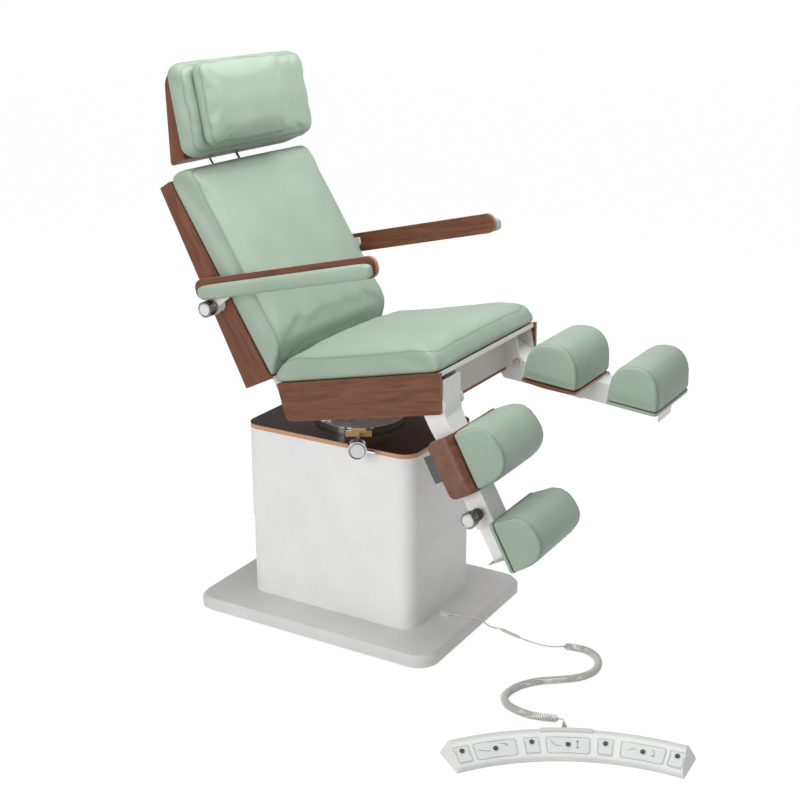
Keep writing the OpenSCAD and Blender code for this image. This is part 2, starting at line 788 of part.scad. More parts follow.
module spindle_drives() color(dark_grey) seat_place() {
    drive_unit(-drive_x, tilt_rod_h, -1);
    drive_unit(drive_x, back_rod_h, 1);
}
module headed_pin(x0, x1, d) {
    rod_along_x(x0, x1, d);
    rod_along_x(x0 - horn_t, x0, d + horn_t);
}
module hinge_pins() color(bright) seat_place() {
    at_yz(tilt_at[0], tilt_at[1]) {
        rod_along_x(-hanger_x - 2 * hanger_t, hanger_x + 2 * hanger_t, tilt_d);
        both_sides() rod_along_x(hanger_x + hanger_t + gap, hanger_x + 2 * hanger_t, tilt_d + horn_t);
    }
    both_sides() {
        at_yz(hinge_at[0], hinge_at[1]) headed_pin(cheek_in - gap, panel_in - gap, pin_d);
        at_yz(pivot_at[0], pivot_at[1]) headed_pin(back_lug_x - 2 * back_lug_t, back_lug_x + back_lug_t + gap, pin_d);
    }
}
// Push rod along the seat, ending in an eye with an upright slot
module push_rod(x, h, pin, low, high) {
    start = drive_head - rod_engaged;
    neck = pin[0] - 2 * rod_pin_d;
    translate([x, start, h]) rotate([-90, 0, 0]) cylinder(d = drive_bore, h = neck - start);
    slot = rod_pin_d + 2 * slot_air;
    translate([x - eye_t / 2, 0, 0]) along_x(0, eye_t) difference() {
        polygon([[neck - cut, h - drive_bore / 2], [pin[0], low - slot], [pin[0] + slot, low - slot / 2],
            [pin[0] + slot, high + slot / 2], [pin[0], high + slot], [neck - cut, h + drive_bore / 2]]);
        translate([pin[0], low]) circle(d = slot);
        translate([pin[0], high]) circle(d = slot);
        translate([pin[0] - slot / 2, low]) square([slot, high - low]);
    }
}
module tilt_rod() color(bright) seat_place() {
    push_rod(-drive_x, tilt_rod_h, tilt_pin_at, tilt_pin_at[1] + tilt_slot[0], tilt_pin_at[1] + tilt_slot[1]);
}
module back_rod() color(bright) seat_place() {
    push_rod(drive_x, back_rod_h, back_pin_at, back_pin_at[1] + back_slot[0], back_pin_at[1] + back_slot[1]);
}

// Back

rear_line = back_rear_share * back_u;
module back_outline(inset) {
    polygon([[-back_front_w, back_foot_u - back_drop], [-rear_line[1] - inset, rear_line[0] - back_drop / 2],
        [-rear_line[2] - inset, back_u], [-back_front_w, back_u]]);
}
module back_frame() color(white_coat) back_place() {
    deck_y = -back_front_w + back_board_t + gap;
    both_sides() {
        along_x(panel_in - lug_t, panel_in) intersection() {
            back_outline(cover_t + cut);
            translate([deck_y, back_foot_u]) square([half_w, back_u - cover_t - gap - back_foot_u]);
        }
        block_between([panel_in - lug_t - rail_size[0], panel_in - lug_t],
            [deck_y, deck_y + rail_size[1]], [back_foot_u, guide_low_u[0]]);
        difference() {
            along_x(back_lug_x - back_lug_t - 2 * cut, back_lug_x - gap) {
                circle(back_lug_r);
                polygon([[deck_y, 0], [back_lug_r, 0], [deck_y + rail_size[1], back_foot_u + corner_r],
                    [deck_y, back_foot_u + corner_r]]);
            }
            rod_along_x(back_lug_x - 2 * back_lug_t, back_lug_x, pin_d + 2 * fit);
        }
        difference() {
            at_yz(-arm_boss_w, arm_u) {
                rod_along_x(panel_in - lug_t, arm_inner - link_t - gap - gap, arm_boss_d);
                rod_along_x(panel_in - lug_t, stud_end, stud_d);
            }
        }
        for (u = guide_low_u) difference() {
            block_between([rod_x - guide_size[0] / 2, rod_x + guide_size[0] / 2],
                [deck_y, deck_y + guide_size[1]], [u, u + guide_h]);
            translate([rod_x, -rod_w, u - cut]) cylinder(d = rod_d + 2 * fit, h = guide_h + 2 * cut);
        }
    }
    at_yz(-tube_w, tube_u) rod_along_x(-panel_in + lug_t, panel_in - lug_t, tube_d);
    for (u = guide_low_u) translate([0, 0, u]) difference() {
        block_between([-panel_in + lug_t, panel_in - lug_t], [deck_y, deck_y + guide_size[1]], [0, guide_h / 2]);
        both_sides() translate([rod_x, -rod_w, guide_h / 4])
            cube([guide_size[0] - cut, 2 * guide_size[1], guide_h], center = true);
    }
    half = eye_t / 2 + eye_gap;
    pin = back_horn_place();
    for (x = [drive_x - half - horn_t, drive_x + half]) along_x(x, x + horn_t) {
        translate([-pin[1], pin[0]]) circle(horn_r);
        translate([-tube_w, tube_u]) circle(tube_d / 2 + horn_t);
        polygon([[-pin[1] + horn_r, pin[0]], [-tube_w + tube_d / 2 + horn_t, tube_u],
            [-tube_w - tube_d / 2 - horn_t, tube_u], [-pin[1] - horn_r, pin[0]]]);
    }
    translate([0, -pin[1], pin[0]]) rod_along_x(drive_x - half - horn_t, drive_x + half + horn_t, rod_pin_d);
}
// Place of the horn's pin along the back, u then w
function back_horn_place() = let (
    a = back_horn_swing - seat_tilt + back_lean
) back_horn_r * [-cos(a), -sin(a)];
module back_panels() color(walnut) back_place() {
    both_sides() difference() {
        along_x(panel_in, half_w) back_outline(0);
        at_yz(-arm_boss_w, arm_u) rod_along_x(panel_in - cut, half_w + cut, arm_boss_d + 2 * gap);
    }
    along_x(-panel_in, panel_in) polygon([[-rear_line[1] - cover_t, rear_line[0]],
        [-rear_line[1], rear_line[0]], [-rear_line[2], back_u], [-rear_line[2] - cover_t, back_u]]);
    block_between([-panel_in, panel_in], [-back_front_w, -back_front_w + back_board_t], [back_foot_u, back_u]);
    difference() {
        block_between([-panel_in, panel_in], [-back_front_w + back_board_t, -rear_line[2] - cover_t / 2],
            [back_u - cover_t, back_u]);
        both_sides() translate([rod_x, -rod_w, back_u - cover_t - cut])
            cylinder(d = rod_d + 4 * gap, h = cover_t + 2 * cut);
    }
}
// Side section of the back cushion, (distance ahead of the back, height along it)
back_section_share = [
    [0.01, 0.046], [0.01, 0.5], [0.01, 0.98], [0.1, 1.015], [0.4, 1.024], [0.74, 1.016], [0.94, 0.985],
    [1, 0.94], [1.01, 0.75], [1.01, 0.5], [1.01, 0.3], [1, 0.19], [0.94, 0.155], [0.8, 0.1315],
    [0.6, 0.107], [0.4, 0.086], [0.18, 0.063]
];
module back_cushion() color(vinyl) back_place() translate([0, -back_front_w, 0])
    rotate([90, 0, 0]) cushion([for (p = back_section_share) [p[1] * back_u, p[0] * back_pad]],
        half_w, back_pad, crown);

// Head

module head_rods() color(bright) back_place() both_sides() translate([rod_x, -rod_w, 0]) {
    translate([0, 0, rod_low]) cylinder(d = rod_d, h = rod_eye_u - rod_eye_r - rod_low + cut);
    translate([0, 0, rod_eye_u]) difference() {
        rod_along_x(-rod_eye_t / 2, rod_eye_t / 2, 2 * rod_eye_r);
        rod_along_x(-rod_eye_t / 2 - cut, rod_eye_t / 2 + cut, head_pin_d + 2 * fit);
    }
}
module head_outline(half, low, high, r) {
    hull() {
        for (x = [-1, 1]) {
            translate([x * (half - r * 0.6), low + r / 4]) circle(r / 4);
            translate([x * (half - 1.4 * r), high - r]) circle(r);
        }
    }
}
module head_profile(inset) {
    polygon([[inset, inset], [head_foot[0] - inset, head_foot[1] + inset], [head_crest - inset / 2, head_u - inset],
        [inset, head_u - inset]]);
}
module head_shell() color(walnut) {
    head_place() difference() {
        intersection() {
            along_x(-half_w, half_w) head_profile(0);
            translate([0, 2 * head_foot[0], 0]) rotate([90, 0, 0])
                linear_extrude(3 * head_foot[0]) head_outline(half_w, head_foot[1], head_u, head_corner);
        }
        along_x(-half_w + 2 * head_corner, half_w - 2 * head_corner) head_profile(head_shell_wall);
    }
    spot = [head_axis[0] - head_y, head_axis[1] - head_z];
    axis_y = spot[0] * cos(head_lean) - spot[1] * sin(head_lean);
    axis_z = spot[0] * sin(head_lean) + spot[1] * cos(head_lean);
    half = rod_eye_t / 2 + eye_gap;
    head_place() for (x = [-rod_x, rod_x]) {
        for (s = [x - half - head_lug_t, x + half]) along_x(s, s + head_lug_t) {
            translate([axis_y, axis_z]) circle(rod_eye_r);
            polygon([[head_foot[0] - head_shell_wall / 2, 0], [axis_y, axis_z - rod_eye_r],
                [axis_y, axis_z + rod_eye_r], [head_foot[0] - 2 * head_shell_wall, head_u / 3]]);
        }
        at_yz(axis_y, axis_z) rod_along_x(x - half - head_lug_t, x + half + head_lug_t, head_pin_d);
    }
}
// Section of a flat soft pad, as shares of its height and thickness
flat_pad_shares = [
    [0.03, 0.01], [0.5, 0.01], [0.97, 0.01], [1, 0.18], [1.005, 0.5], [0.985, 0.8], [0.93, 0.96],
    [0.8, 1], [0.5, 1.01], [0.2, 1], [0.07, 0.96], [0.015, 0.8], [-0.005, 0.5], [0, 0.18]
];
// Stations of a pad with rounded corners: place across, length there, thickness there
round_stations_share = [
    [-0.985, 0.6, 0.55], [-1, 0.72, 0.7], [-0.99, 0.82, 0.86], [-0.95, 0.93, 0.98], [-0.86, 1, 1], [-0.5, 1, 1],
    [0, 1, 1], [0.5, 1, 1], [0.86, 1, 1], [0.95, 0.93, 0.98], [0.99, 0.82, 0.86], [1, 0.72, 0.7], [0.985, 0.6, 0.55]
];
// Pad lying on the plane of X and Y, its thickness along +Z, drawn as rings along X
module round_pad(half, length, thick, lift) {
    loft([
        for (i = [0:len(round_stations_share) - 1]) let (s = round_stations_share[i])
            [for (p = flat_pad_shares) [s[0] * half, ((p[0] - 0.5) * s[1] + 0.5) * length,
                ((p[1] - 0.5) * s[2] + 0.5) * thick + lift * soft_rise_share[i] * max(0, p[1] - 0.5)
                    * (1 - abs(2 * p[0] - 1))]]
    ]);
}
module head_cushion() color(vinyl) head_place() translate([0, -gap, 0]) rotate([90, 0, 0])
    round_pad(half_w, head_u + head_foot[0] / 4, head_pad, crown);
pillow_half = 188.5;
pillow_mid = -81.5;
pillow_start = 24;
pillow_len = 233;
pillow_t = 43;
module pillow() color(vinyl) head_place() translate([pillow_mid, -head_pad - crown / 2 - 2 * gap, pillow_start])
    rotate([90, 0, 0]) round_pad(pillow_half, pillow_len, pillow_t, crown);

// Armrests

module arm_shell(side) color(walnut) on_side(side) arm_place()
    along_x(arm_inner, arm_inner + arm_plate_t)
        translate([(arm_back - arm_len) / 2, arm_low + arm_h / 2])
            rounded_square(arm_back + arm_len, arm_h, arm_corner);
module arm_shell_right() arm_shell(-1);
module arm_shell_left() arm_shell(1);
module arm_link(side) color(white_coat) on_side(side) arm_place() difference() {
    along_x(arm_inner - link_t, arm_inner) {
        circle(link_r);
        polygon([for (p = link_shares) [p[0] * link_r, p[1] * link_r]]);
    }
    rod_along_x(arm_inner - 2 * link_t, arm_inner + cut, stud_d + 2 * fit);
}
module arm_link_right() arm_link(-1);
module arm_link_left() arm_link(1);
// Stations along an armrest pad, with its depth and height there
arm_stations_share = [
    [0, 0.5, 0.5], [0.003, 0.75, 0.64], [0.01, 0.92, 0.78], [0.03, 1, 0.94], [0.08, 1, 1], [0.5, 1, 1], [0.92, 1, 1],
    [0.97, 1, 0.94], [0.99, 0.92, 0.78], [0.997, 0.75, 0.64], [1, 0.5, 0.5]
];
// Section of an armrest pad, depth from the plate and height
arm_section_share = [
    [0, 0.02], [0.4, 0], [0.75, 0.03], [0.94, 0.14], [1, 0.32], [1.02, 0.5], [1, 0.68], [0.94, 0.86], [0.75, 0.97],
    [0.4, 1], [0, 0.98], [0, 0.5]
];
module arm_pad(side, shift) color(vinyl) on_side(side) arm_place()
    translate([arm_inner + arm_plate_t + gap, 0, 0])
        loft([
            for (s = arm_stations_share) [for (p = arm_section_share)
                [p[0] * s[1] * arm_pad_t, -arm_pad_start - shift - s[0] * arm_pad_len,
                    arm_low + (0.5 + (p[1] - 0.5) * s[2]) * arm_pad_h]]
        ]);
module arm_pad_right() arm_pad(-1, 0);
module arm_pad_left() arm_pad(1, arm_pad_left_shift);
module arm_knob(side) color(bright) on_side(side) arm_place() difference() {
    union() {
        rod_along_x(arm_inner + gap, arm_knob_end - arm_plate_t, arm_knob_d * 0.8);
        rod_along_x(arm_inner + arm_plate_t, arm_knob_end - rim_t, arm_knob_d);
        rod_along_x(arm_inner + arm_plate_t, arm_knob_end, arm_knob_d * 0.86);
    }
    rod_along_x(arm_inner, stud_end + gap, stud_d + 2 * fit);
}
module arm_knob_right() arm_knob(-1);
module arm_knob_left() arm_knob(1);

// Legs

module leg_beam(side, angle) on_side(side) leg_place(angle) {
    inner = beam_w / 2 - beam_wall;
    color(white_coat) difference() {
        union() {
            block_between([leg_x - beam_w / 2, leg_x + beam_w / 2], [-beam_len, -head_taper[0]], [-beam_h, 0]);
            intersection() {
                along_x(leg_x - head_w / 2, leg_x + head_w / 2) polygon([for (p = leg_head) [-p[0], p[1]]]);
                translate([0, 0, -2 * beam_h]) linear_extrude(4 * beam_h) polygon([
                    [leg_x - head_w / 2, 2 * beam_h], [leg_x - head_w / 2, -head_taper[0]],
                    [leg_x - beam_w / 2, -head_taper[1]], [leg_x + beam_w / 2, -head_taper[1]],
                    [leg_x + head_w / 2, -head_taper[0]], [leg_x + head_w / 2, 2 * beam_h]]);
            }
            at_yz(-leg_knob_d_place, leg_knob_v)
                rod_along_x(leg_x + inner, leg_x + beam_w / 2 + beam_wall, 2 * leg_screw_d);
        }
        block_between([leg_x - inner, leg_x + inner], [-beam_len - cut, -cavity_start],
            [-beam_h + beam_wall, -beam_wall]);
        rod_along_x(leg_x - head_w, leg_x + head_w, pin_d + 2 * fit);
        at_yz(-leg_knob_d_place, leg_knob_v)
            rod_along_x(leg_x, leg_x + beam_w, leg_screw_d + 2 * fit);
    }
    color(dark_grey) block_between(calf_clamp[0], [-calf_clamp[1][1], -calf_clamp[1][0]],
        [calf_clamp_low[side < 0 ? 0 : 1], -beam_h]);
}
module leg_beam_right() leg_beam(-1, leg_right);
module leg_beam_left() leg_beam(1, leg_left);
module calf_shell(side, angle) color(walnut) on_side(side) leg_place(angle) intersection() {
    translate([0, -shell_span[0], 0]) rotate([90, 0, 0]) linear_extrude(shell_span[1] - shell_span[0]) {
        translate([shell_edge, 0]) square([shell_side - shell_bend - shell_edge, shell_t]);
        translate([shell_side - shell_t, shell_low]) square([shell_t, shell_t - shell_bend - shell_low]);
        translate([shell_side - shell_bend, shell_t - shell_bend]) intersection() {
            difference() {
                circle(shell_bend);
                circle(shell_bend - shell_t);
            }
            square(shell_bend);
        }
    }
    along_x(0, 2 * shell_side) translate([-(shell_span[0] + shell_span[1]) / 2, shell_low + shell_side / 2])
        rounded_square(shell_span[1] - shell_span[0], shell_side, shell_corner);
    translate([shell_edge + shell_side / 2, -(shell_span[0] + shell_span[1]) / 2, -shell_side])
        rounded_block(shell_side, shell_span[1] - shell_span[0], shell_corner, 2 * shell_side);
    translate([shell_edge + shell_bulge_r, -(shell_span[0] + shell_span[1]) / 2, -shell_side])
        cylinder(r = shell_bulge_r, h = 2 * shell_side, $fn = 180);
}
module calf_shell_right() calf_shell(-1, leg_right);
module calf_shell_left() calf_shell(1, leg_left);
// Stations across a D-shaped pad, place and shrink of its section
d_stations_share = [
    [0.012, 0.8], [0, 0.9], [0.004, 0.965], [0.03, 0.99], [0.06, 0.985], [0.1, 1], [0.3, 1], [0.5, 1.004],
    [0.7, 1], [0.9, 1], [0.94, 0.985], [0.97, 0.99], [0.996, 0.965], [1, 0.9], [0.988, 0.8]
];
module d_pad(start, chord, low, h, x0, w) {
    section = d_section(start, chord, low, h);
    base = [-(start + chord / 2), low + h * 0.4];
    loft([for (s = d_stations_share) [for (p = section)
        [x0 + s[0] * w, base[0] + (p[0] - base[0]) * s[1], max(low, base[1] + (p[1] - base[1]) * s[1])]]]);
}
module calf_pad(side, angle) color(vinyl) on_side(side) leg_place(angle)
    d_pad(calf_start, calf_chord, shell_t + gap, calf_h, calf_edge, calf_w);
module calf_pad_right() calf_pad(-1, leg_right);
module calf_pad_left() calf_pad(1, leg_left);
module leg_slide(side, angle) on_side(side) leg_place(angle) {
    low = -beam_wall - slide_gap - slide_h;
    x = [leg_x - slide_w / 2, leg_x + slide_w / 2];
    place = side < 0 ? foot_pad_right : foot_pad_left;
    color(white_coat) difference() {
        block_between(x, [-slide_end, -slide_start], [low, low + slide_h]);
        block_between([x[0] + slide_wall, x[1] - slide_wall], [-slide_end - cut, -slide_start + cut],
            [low + slide_wall, low + slide_h - slide_wall]);
    }
    color(bright) difference() {
        block_between([leg_x - end_plate_w / 2, leg_x + end_plate_w / 2],
            [-slide_end - end_plate_t, -slide_end], [end_plate_low, board_v]);
        for (s = [-1, 1]) translate([leg_x + s * end_plate_w / 5, 0, -leg_screw_d])
            rotate([90, 0, 0]) linear_extrude(slide_end + cut + end_plate_t)
                rounded_square(end_plate_w / 4, leg_screw_d, leg_screw_d / 2 - cut);
    }
    color(bright) block_between(x, [-slide_end, -slide_end + bolt_d], [low + slide_h - slide_wall, board_v]);
    color(walnut) translate([foot_edge + foot_w / 2, -place - foot_chord / 2, board_v])
        rounded_block(foot_w, foot_chord, foot_board_r, foot_board_t);
}
module leg_slide_right() leg_slide(-1, leg_right);
module leg_slide_left() leg_slide(1, leg_left);
module foot_pad(side, angle, place) color(vinyl) on_side(side) leg_place(angle)
    d_pad(place, foot_chord, board_v + foot_board_t + gap, foot_pad_h, foot_edge, foot_w);
module foot_pad_right_leg() foot_pad(-1, leg_right, foot_pad_right);
module foot_pad_left_leg() foot_pad(1, leg_left, foot_pad_left);
module leg_knob(side, angle) on_side(side) leg_place(angle) at_yz(-leg_knob_d_place, leg_knob_v) {
    neck = leg_x + beam_w / 2 + beam_wall + gap;
    color(bright) rod_along_x(leg_x + slide_w / 2 + gap, neck + cut, leg_screw_d);
    color(dark_grey) {
        rod_along_x(neck, leg_knob_end - leg_knob_d / 2, leg_knob_d * 0.62);
        for (i = [0:2]) rod_along_x(neck + (2 * i + 1) * rib_t, neck + (2 * i + 1.5) * rib_t, leg_knob_d * 0.74);
    }
    color(bright) {
        rod_along_x(leg_knob_end - leg_knob_d / 2, leg_knob_end - rim_t, leg_knob_d);
        rod_along_x(leg_knob_end - leg_knob_d / 2, leg_knob_end, leg_knob_d * 0.86);
    }
}
module leg_knob_right() leg_knob(-1, leg_right);
module leg_knob_left() leg_knob(1, leg_left);

// Foot control

control_shares = [
    [0, 0], [0, 0.18], [0.02, 0.27], [0.07, 0.34], [0.6, 0.9], [0.68, 0.97], [0.74, 1], [0.84, 1], [0.88, 0.95],
    [0.98, 0.3], [1, 0.22], [1, 0]
];
module control_section(inset) {
    polygon([for (p = control_shares) [
        control_r + inset + p[0] * (control_d - 2 * inset), p[1] * (control_h - inset) - (p[1] == 0 ? inset / 3 : 0)]]);
}
function button_radius(i) = i % 2 == 0 ? button_r : button_small_r;
button_place_share = [0.945, 0.803, 0.647, 0.498, 0.345, 0.191, 0.052];
module button_spot(i) {
    control_place(control_span * button_place_share[i - 1])
        translate([button_radius(i), 0, button_seat_z(i)]) children();
}
function button_seat_z(i) = let (s = (button_radius(i) - control_r) / control_d)
    control_h * (0.34 + (s - 0.07) * 0.56 / 0.53);
module pedal_housing() color(white_coat) difference() {
    union() {
        difference() {
            control_place(0) rotate_extrude(angle = control_span, $fn = 180) control_section(0);
            end_bevels();
        }
        control_place((control_span - cap_span) / 2) rotate_extrude(angle = cap_span, $fn = 180)
            polygon([[control_r + 0.7 * control_d, control_h / 2], [control_r + 0.7 * control_d, control_h + cap_rise],
                [control_r + 0.86 * control_d, control_h + cap_rise], [control_r + 0.9 * control_d, control_h / 2]]);
        control_place(control_span / 2) block_between([control_r + 0.9 * control_d, control_r + control_d],
            [-relief_z, relief_z], [0, 1.8 * relief_z]);
    }
    control_place(control_inset) rotate_extrude(angle = control_span - 2 * control_inset, $fn = 180)
        control_section(control_wall);
    for (i = [1:7]) button_spot(i) translate([0, 0, -button_h]) cylinder(d = button_d + 4 * fit, h = 2 * button_h);
}
module end_bevels() {
    for (end = [0, 1]) control_place(end * control_span) rotate([(2 * end - 1) * control_lean, 0, 0])
        translate([control_r - control_d, (end - 1) * control_d, -control_d])
            cube([3 * control_d, control_d, 3 * control_d]);
}
module pedal_button(i) color(dark_grey) button_spot(i) {
    translate([0, 0, button_proud - button_h]) cylinder(d = button_d, h = button_h - button_edge);
    translate([0, 0, button_proud - button_edge])
        cylinder(d1 = button_d, d2 = button_d - 2 * button_edge, h = button_edge);
    translate([0, 0, button_proud - button_h - button_flange])
        cylinder(d = button_d + 2 * button_flange, h = button_flange);
}
module pedal_button_1() pedal_button(1);
module pedal_button_2() pedal_button(2);
module pedal_button_3() pedal_button(3);
module pedal_button_4() pedal_button(4);
module pedal_button_5() pedal_button(5);
module pedal_button_6() pedal_button(6);
module pedal_button_7() pedal_button(7);

// Cords: the gland's lead over the plate's edge, its connector, and the curly cord to the housing
lead_d = 4;
lead_route = [
    [-38, -340, 45], [-37, -344, 45], [-34, -356, 43.6], [-29, -374, 42.4], [-23, -394, 42.4],
    [-19, -408, 42.6], [-13, -420, 39], [-5, -432, 28], [3, -444, 16], [12, -455, 8], [20, -466, 5],
    [21, -474, 4.7], [20, -478, 4.7]
];
connector_ends = [[20, -478, 4.7], [2, -548, 4.7]];
connector_d = 9;
curl_r = 9;
curl_count = 46;
curl_rings = 8;
curly_route = [
    [2, -548, 4.7], [1, -552, 4.7], [-1, -566, 3.6], [-2, -590, 2.3], [-3, -616, 2.3], [-3, -642, 3.6],
    [-1, -666, 8], [4, -687, 11.5], [16, -716, 11.5], [18, -753, 11.5], [0, -789, 11.5], [-37, -814, 11.5],
    [-82, -820, 11.5], [-122, -806, 11.5], [-154, -780, 11.5], [-182, -746, 11.5], [-213, -708, 11.5],
    [-250, -680, 11.5], [-292, -664, 11.5], [-334, -664, 11.5], [-364, -686, 11.5], [-378, -720, 11.5],
    [-382, -756, 11.5], [-376, -792, 11.5], [-366, -824, 11.5], [-362, -838, 12.6], [-362, -848, 13.6],
    [-368.4, -853.3, 14], [-373.8, -856.2, 14], [-377.3, -858, 14]
];
curls_from = 7;
curls_to = 25;
gland_at = [-42, -318, plate_top];
gland_size = [24, 44, 10];

function unit(v) = v / norm(v);
// Point on a smooth curve through a route's points, the whole part of u counting them
function on_route(route, u) = let (
    last = len(route) - 1, i = min(floor(u), last - 1), t = u - i,
    a = route[max(i - 1, 0)], b = route[i], c = route[i + 1], d = route[min(i + 2, last)]
) (2 * b + (c - a) * t + (2 * a - 5 * b + 4 * c - d) * t * t + (3 * b - a - 3 * c + d) * t * t * t) / 2;
function along_route(route, u) = let (last = len(route) - 1, h = 0.02)
    unit(on_route(route, min(u + h, last)) - on_route(route, max(u - h, 0)));
// Rings of a tube at the places us of a route; each place may stand off it as a curl
function ring(centre, heading, side, d, sides) = let (n = unit(cross(heading, cross(side, heading))))
    [for (k = [0:sides - 1]) let (a = -360 * k / sides)
        centre + d / 2 * (cos(a) * n + sin(a) * cross(n, heading))];
function plain_rings(route, us, d, sides) = [
    for (u = us) let (t = along_route(route, u)) ring(on_route(route, u), t, cross(t, [0, 0, 1]), d, sides)
];
module cord_lead() color("lightgray") {
    last = len(lead_route) - 1;
    loft(plain_rings(lead_route, [for (i = [0:2 * last]) i / 2], lead_d, 8));
}
module cord_connector() color("lightgray") {
    run = connector_ends[1] - connector_ends[0];
    translate(connector_ends[0]) rotate([0, 0, atan2(run[1], run[0])]) rotate([0, 90, 0]) {
        size = norm(run);
        translate([0, 0, gap]) cylinder(d1 = connector_d * 0.7, d2 = connector_d, h = connector_d);
        translate([0, 0, connector_d]) cylinder(d = connector_d, h = size - 2 * connector_d);
        translate([0, 0, size - connector_d]) cylinder(d1 = connector_d, d2 = connector_d * 0.7, h = connector_d - gap);
    }
}
function curl_share(u) = max(0, min(1, (u - curls_from) * curls_per, (curls_to - u) * curls_per));
curls_per = curl_count / (curls_to - curls_from);
function curl_place(u) = let (
    t = along_route(curly_route, u), side = unit(cross([0, 0, 1], t)), up = cross(t, side),
    a = 360 * (max(curls_from, min(curls_to, u)) - curls_from) * curls_per - 90
) [on_route(curly_route, u), cos(a) * side + sin(a) * up, curl_share(u) * curl_r];
function curl_point(u) = let (p = curl_place(u)) p[0] + p[2] * p[1];
curl_places = concat(
    [for (i = [0:2 * curls_from - 1]) i / 2],
    [for (i = [0:curl_count * curl_rings]) curls_from + i / curl_rings / curls_per],
    [for (i = [curls_to + 1 / 2:1 / 2:len(curly_route) - 1]) i]
);
module curly_cord() color("lightgray") {
    h = 1 / curl_rings / curls_per / 4;
    last = len(curly_route) - 1;
    loft([
        for (u = curl_places) let (p = curl_place(u),
            t = unit(curl_point(min(u + h, last)) - curl_point(max(u - h, 0))))
            ring(curl_point(u), t, p[1], lead_d, 6)
    ]);
    middles = [for (u = curl_places) curl_point(u)];
    least = min([
        for (i = [0:len(middles) - 1]) for (j = [i + curl_rings * 3 / 4:min(i + 3 * curl_rings, len(middles) - 1)])
            if (norm(middles[i] - middles[j]) < 4 * curl_r) norm(middles[i] - middles[j])
    ]);
    echo(str("Least gap of the curly cord to itself, mm: ", least - lead_d));
}
module gland_snout() {
    run = lead_route[1] - lead_route[0];
    translate(lead_route[0]) rotate([0, 0, atan2(run[1], run[0])]) rotate([0, -90, 0])
        cylinder(d1 = 1.5 * lead_d, d2 = 2.2 * lead_d, h = 2 * lead_d);
}
module strain_reliefs() {
    color("white") translate(gland_at) {
        rounded_block(gland_size[0], gland_size[1] - lead_d, gland_size[0] / 2 - fit, gland_size[2] * 0.6);
        rounded_block(gland_size[0] * 0.7, gland_size[1] * 0.7, gland_size[0] / 3, gland_size[2]);
    }
    color("white") gland_snout();
    color("lightgray") control_place(control_span / 2) translate([control_r + control_d, 0, relief_z])
        rotate([0, 90, 0]) {
            cylinder(d1 = 1.25 * relief_z, d2 = 2 * lead_d, h = relief_len);
            for (i = [1:4]) translate([0, 0, i * relief_len / 6])
                cylinder(d = 1.35 * relief_z - i * lead_d / 3, h = rim_t);
        }
}

floor_plate();
levelling_feet();
lower_cover();
column_outer();
lift_drive();
column_mid();
column_inner();
upper_cover();
top_plate();
swivel_base();
clamp_band();
clamp_block();
clamp_screw();
turntable();
seat_frame();
seat_panels();
seat_cushion();
spindle_drives();
hinge_pins();
tilt_rod();
back_rod();
back_frame();
back_panels();
back_cushion();
head_rods();
head_shell();
head_cushion();
pillow();
arm_shell_right();
arm_shell_left();
arm_link_right();
arm_link_left();
arm_pad_right();
arm_pad_left();
arm_knob_right();
arm_knob_left();
leg_beam_right();
leg_beam_left();
calf_shell_right();
calf_shell_left();
calf_pad_right();
calf_pad_left();
leg_slide_right();
leg_slide_left();
foot_pad_right_leg();
foot_pad_left_leg();
leg_knob_right();
leg_knob_left();
pedal_housing();
pedal_button_1();
pedal_button_2();
pedal_button_3();
pedal_button_4();
pedal_button_5();
pedal_button_6();
pedal_button_7();
strain_reliefs();
cord_lead();
cord_connector();
curly_cord();
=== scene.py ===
import math

import bmesh
import bpy
import numpy as np
from mathutils import Matrix, Vector
from mathutils.bvhtree import BVHTree
from mathutils.kdtree import KDTree


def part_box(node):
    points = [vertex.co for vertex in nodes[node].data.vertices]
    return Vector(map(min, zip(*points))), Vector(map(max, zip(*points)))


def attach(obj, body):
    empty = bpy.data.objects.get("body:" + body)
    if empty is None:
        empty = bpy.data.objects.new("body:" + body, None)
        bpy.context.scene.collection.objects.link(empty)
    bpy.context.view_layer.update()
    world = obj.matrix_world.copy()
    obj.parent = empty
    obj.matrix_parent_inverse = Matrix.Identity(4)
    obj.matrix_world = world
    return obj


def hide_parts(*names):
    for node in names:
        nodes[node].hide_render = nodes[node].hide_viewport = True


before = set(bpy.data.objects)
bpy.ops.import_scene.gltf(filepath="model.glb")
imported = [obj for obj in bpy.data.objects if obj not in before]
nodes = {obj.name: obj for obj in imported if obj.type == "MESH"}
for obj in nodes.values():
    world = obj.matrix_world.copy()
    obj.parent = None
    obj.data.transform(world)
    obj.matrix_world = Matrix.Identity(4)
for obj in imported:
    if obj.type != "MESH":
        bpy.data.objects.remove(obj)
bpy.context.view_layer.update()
scene = bpy.context.scene
mm = 0.001
print("frame loaded with", len(nodes), "pieces")


def srgb(red, green, blue, alpha=1.0):
    # colours are written as they look on a screen, 0 to 255
    def linear(value):
        share = value / 255
        return share / 12.92 if share <= 0.04045 else ((share + 0.055) / 1.055) ** 2.4
    return (linear(red), linear(green), linear(blue), alpha)


def inMetres(points):
    return [Vector(p) * mm for p in points]


# Camera at the photograph's angle

cameraSetup = {
    "position": (-3.3099, -2.0771, 1.9573),
    "azimuth": -59.65,
    "elevation": 18.46,
    "lens": 61.78,
    "sensor": 36.0,
}


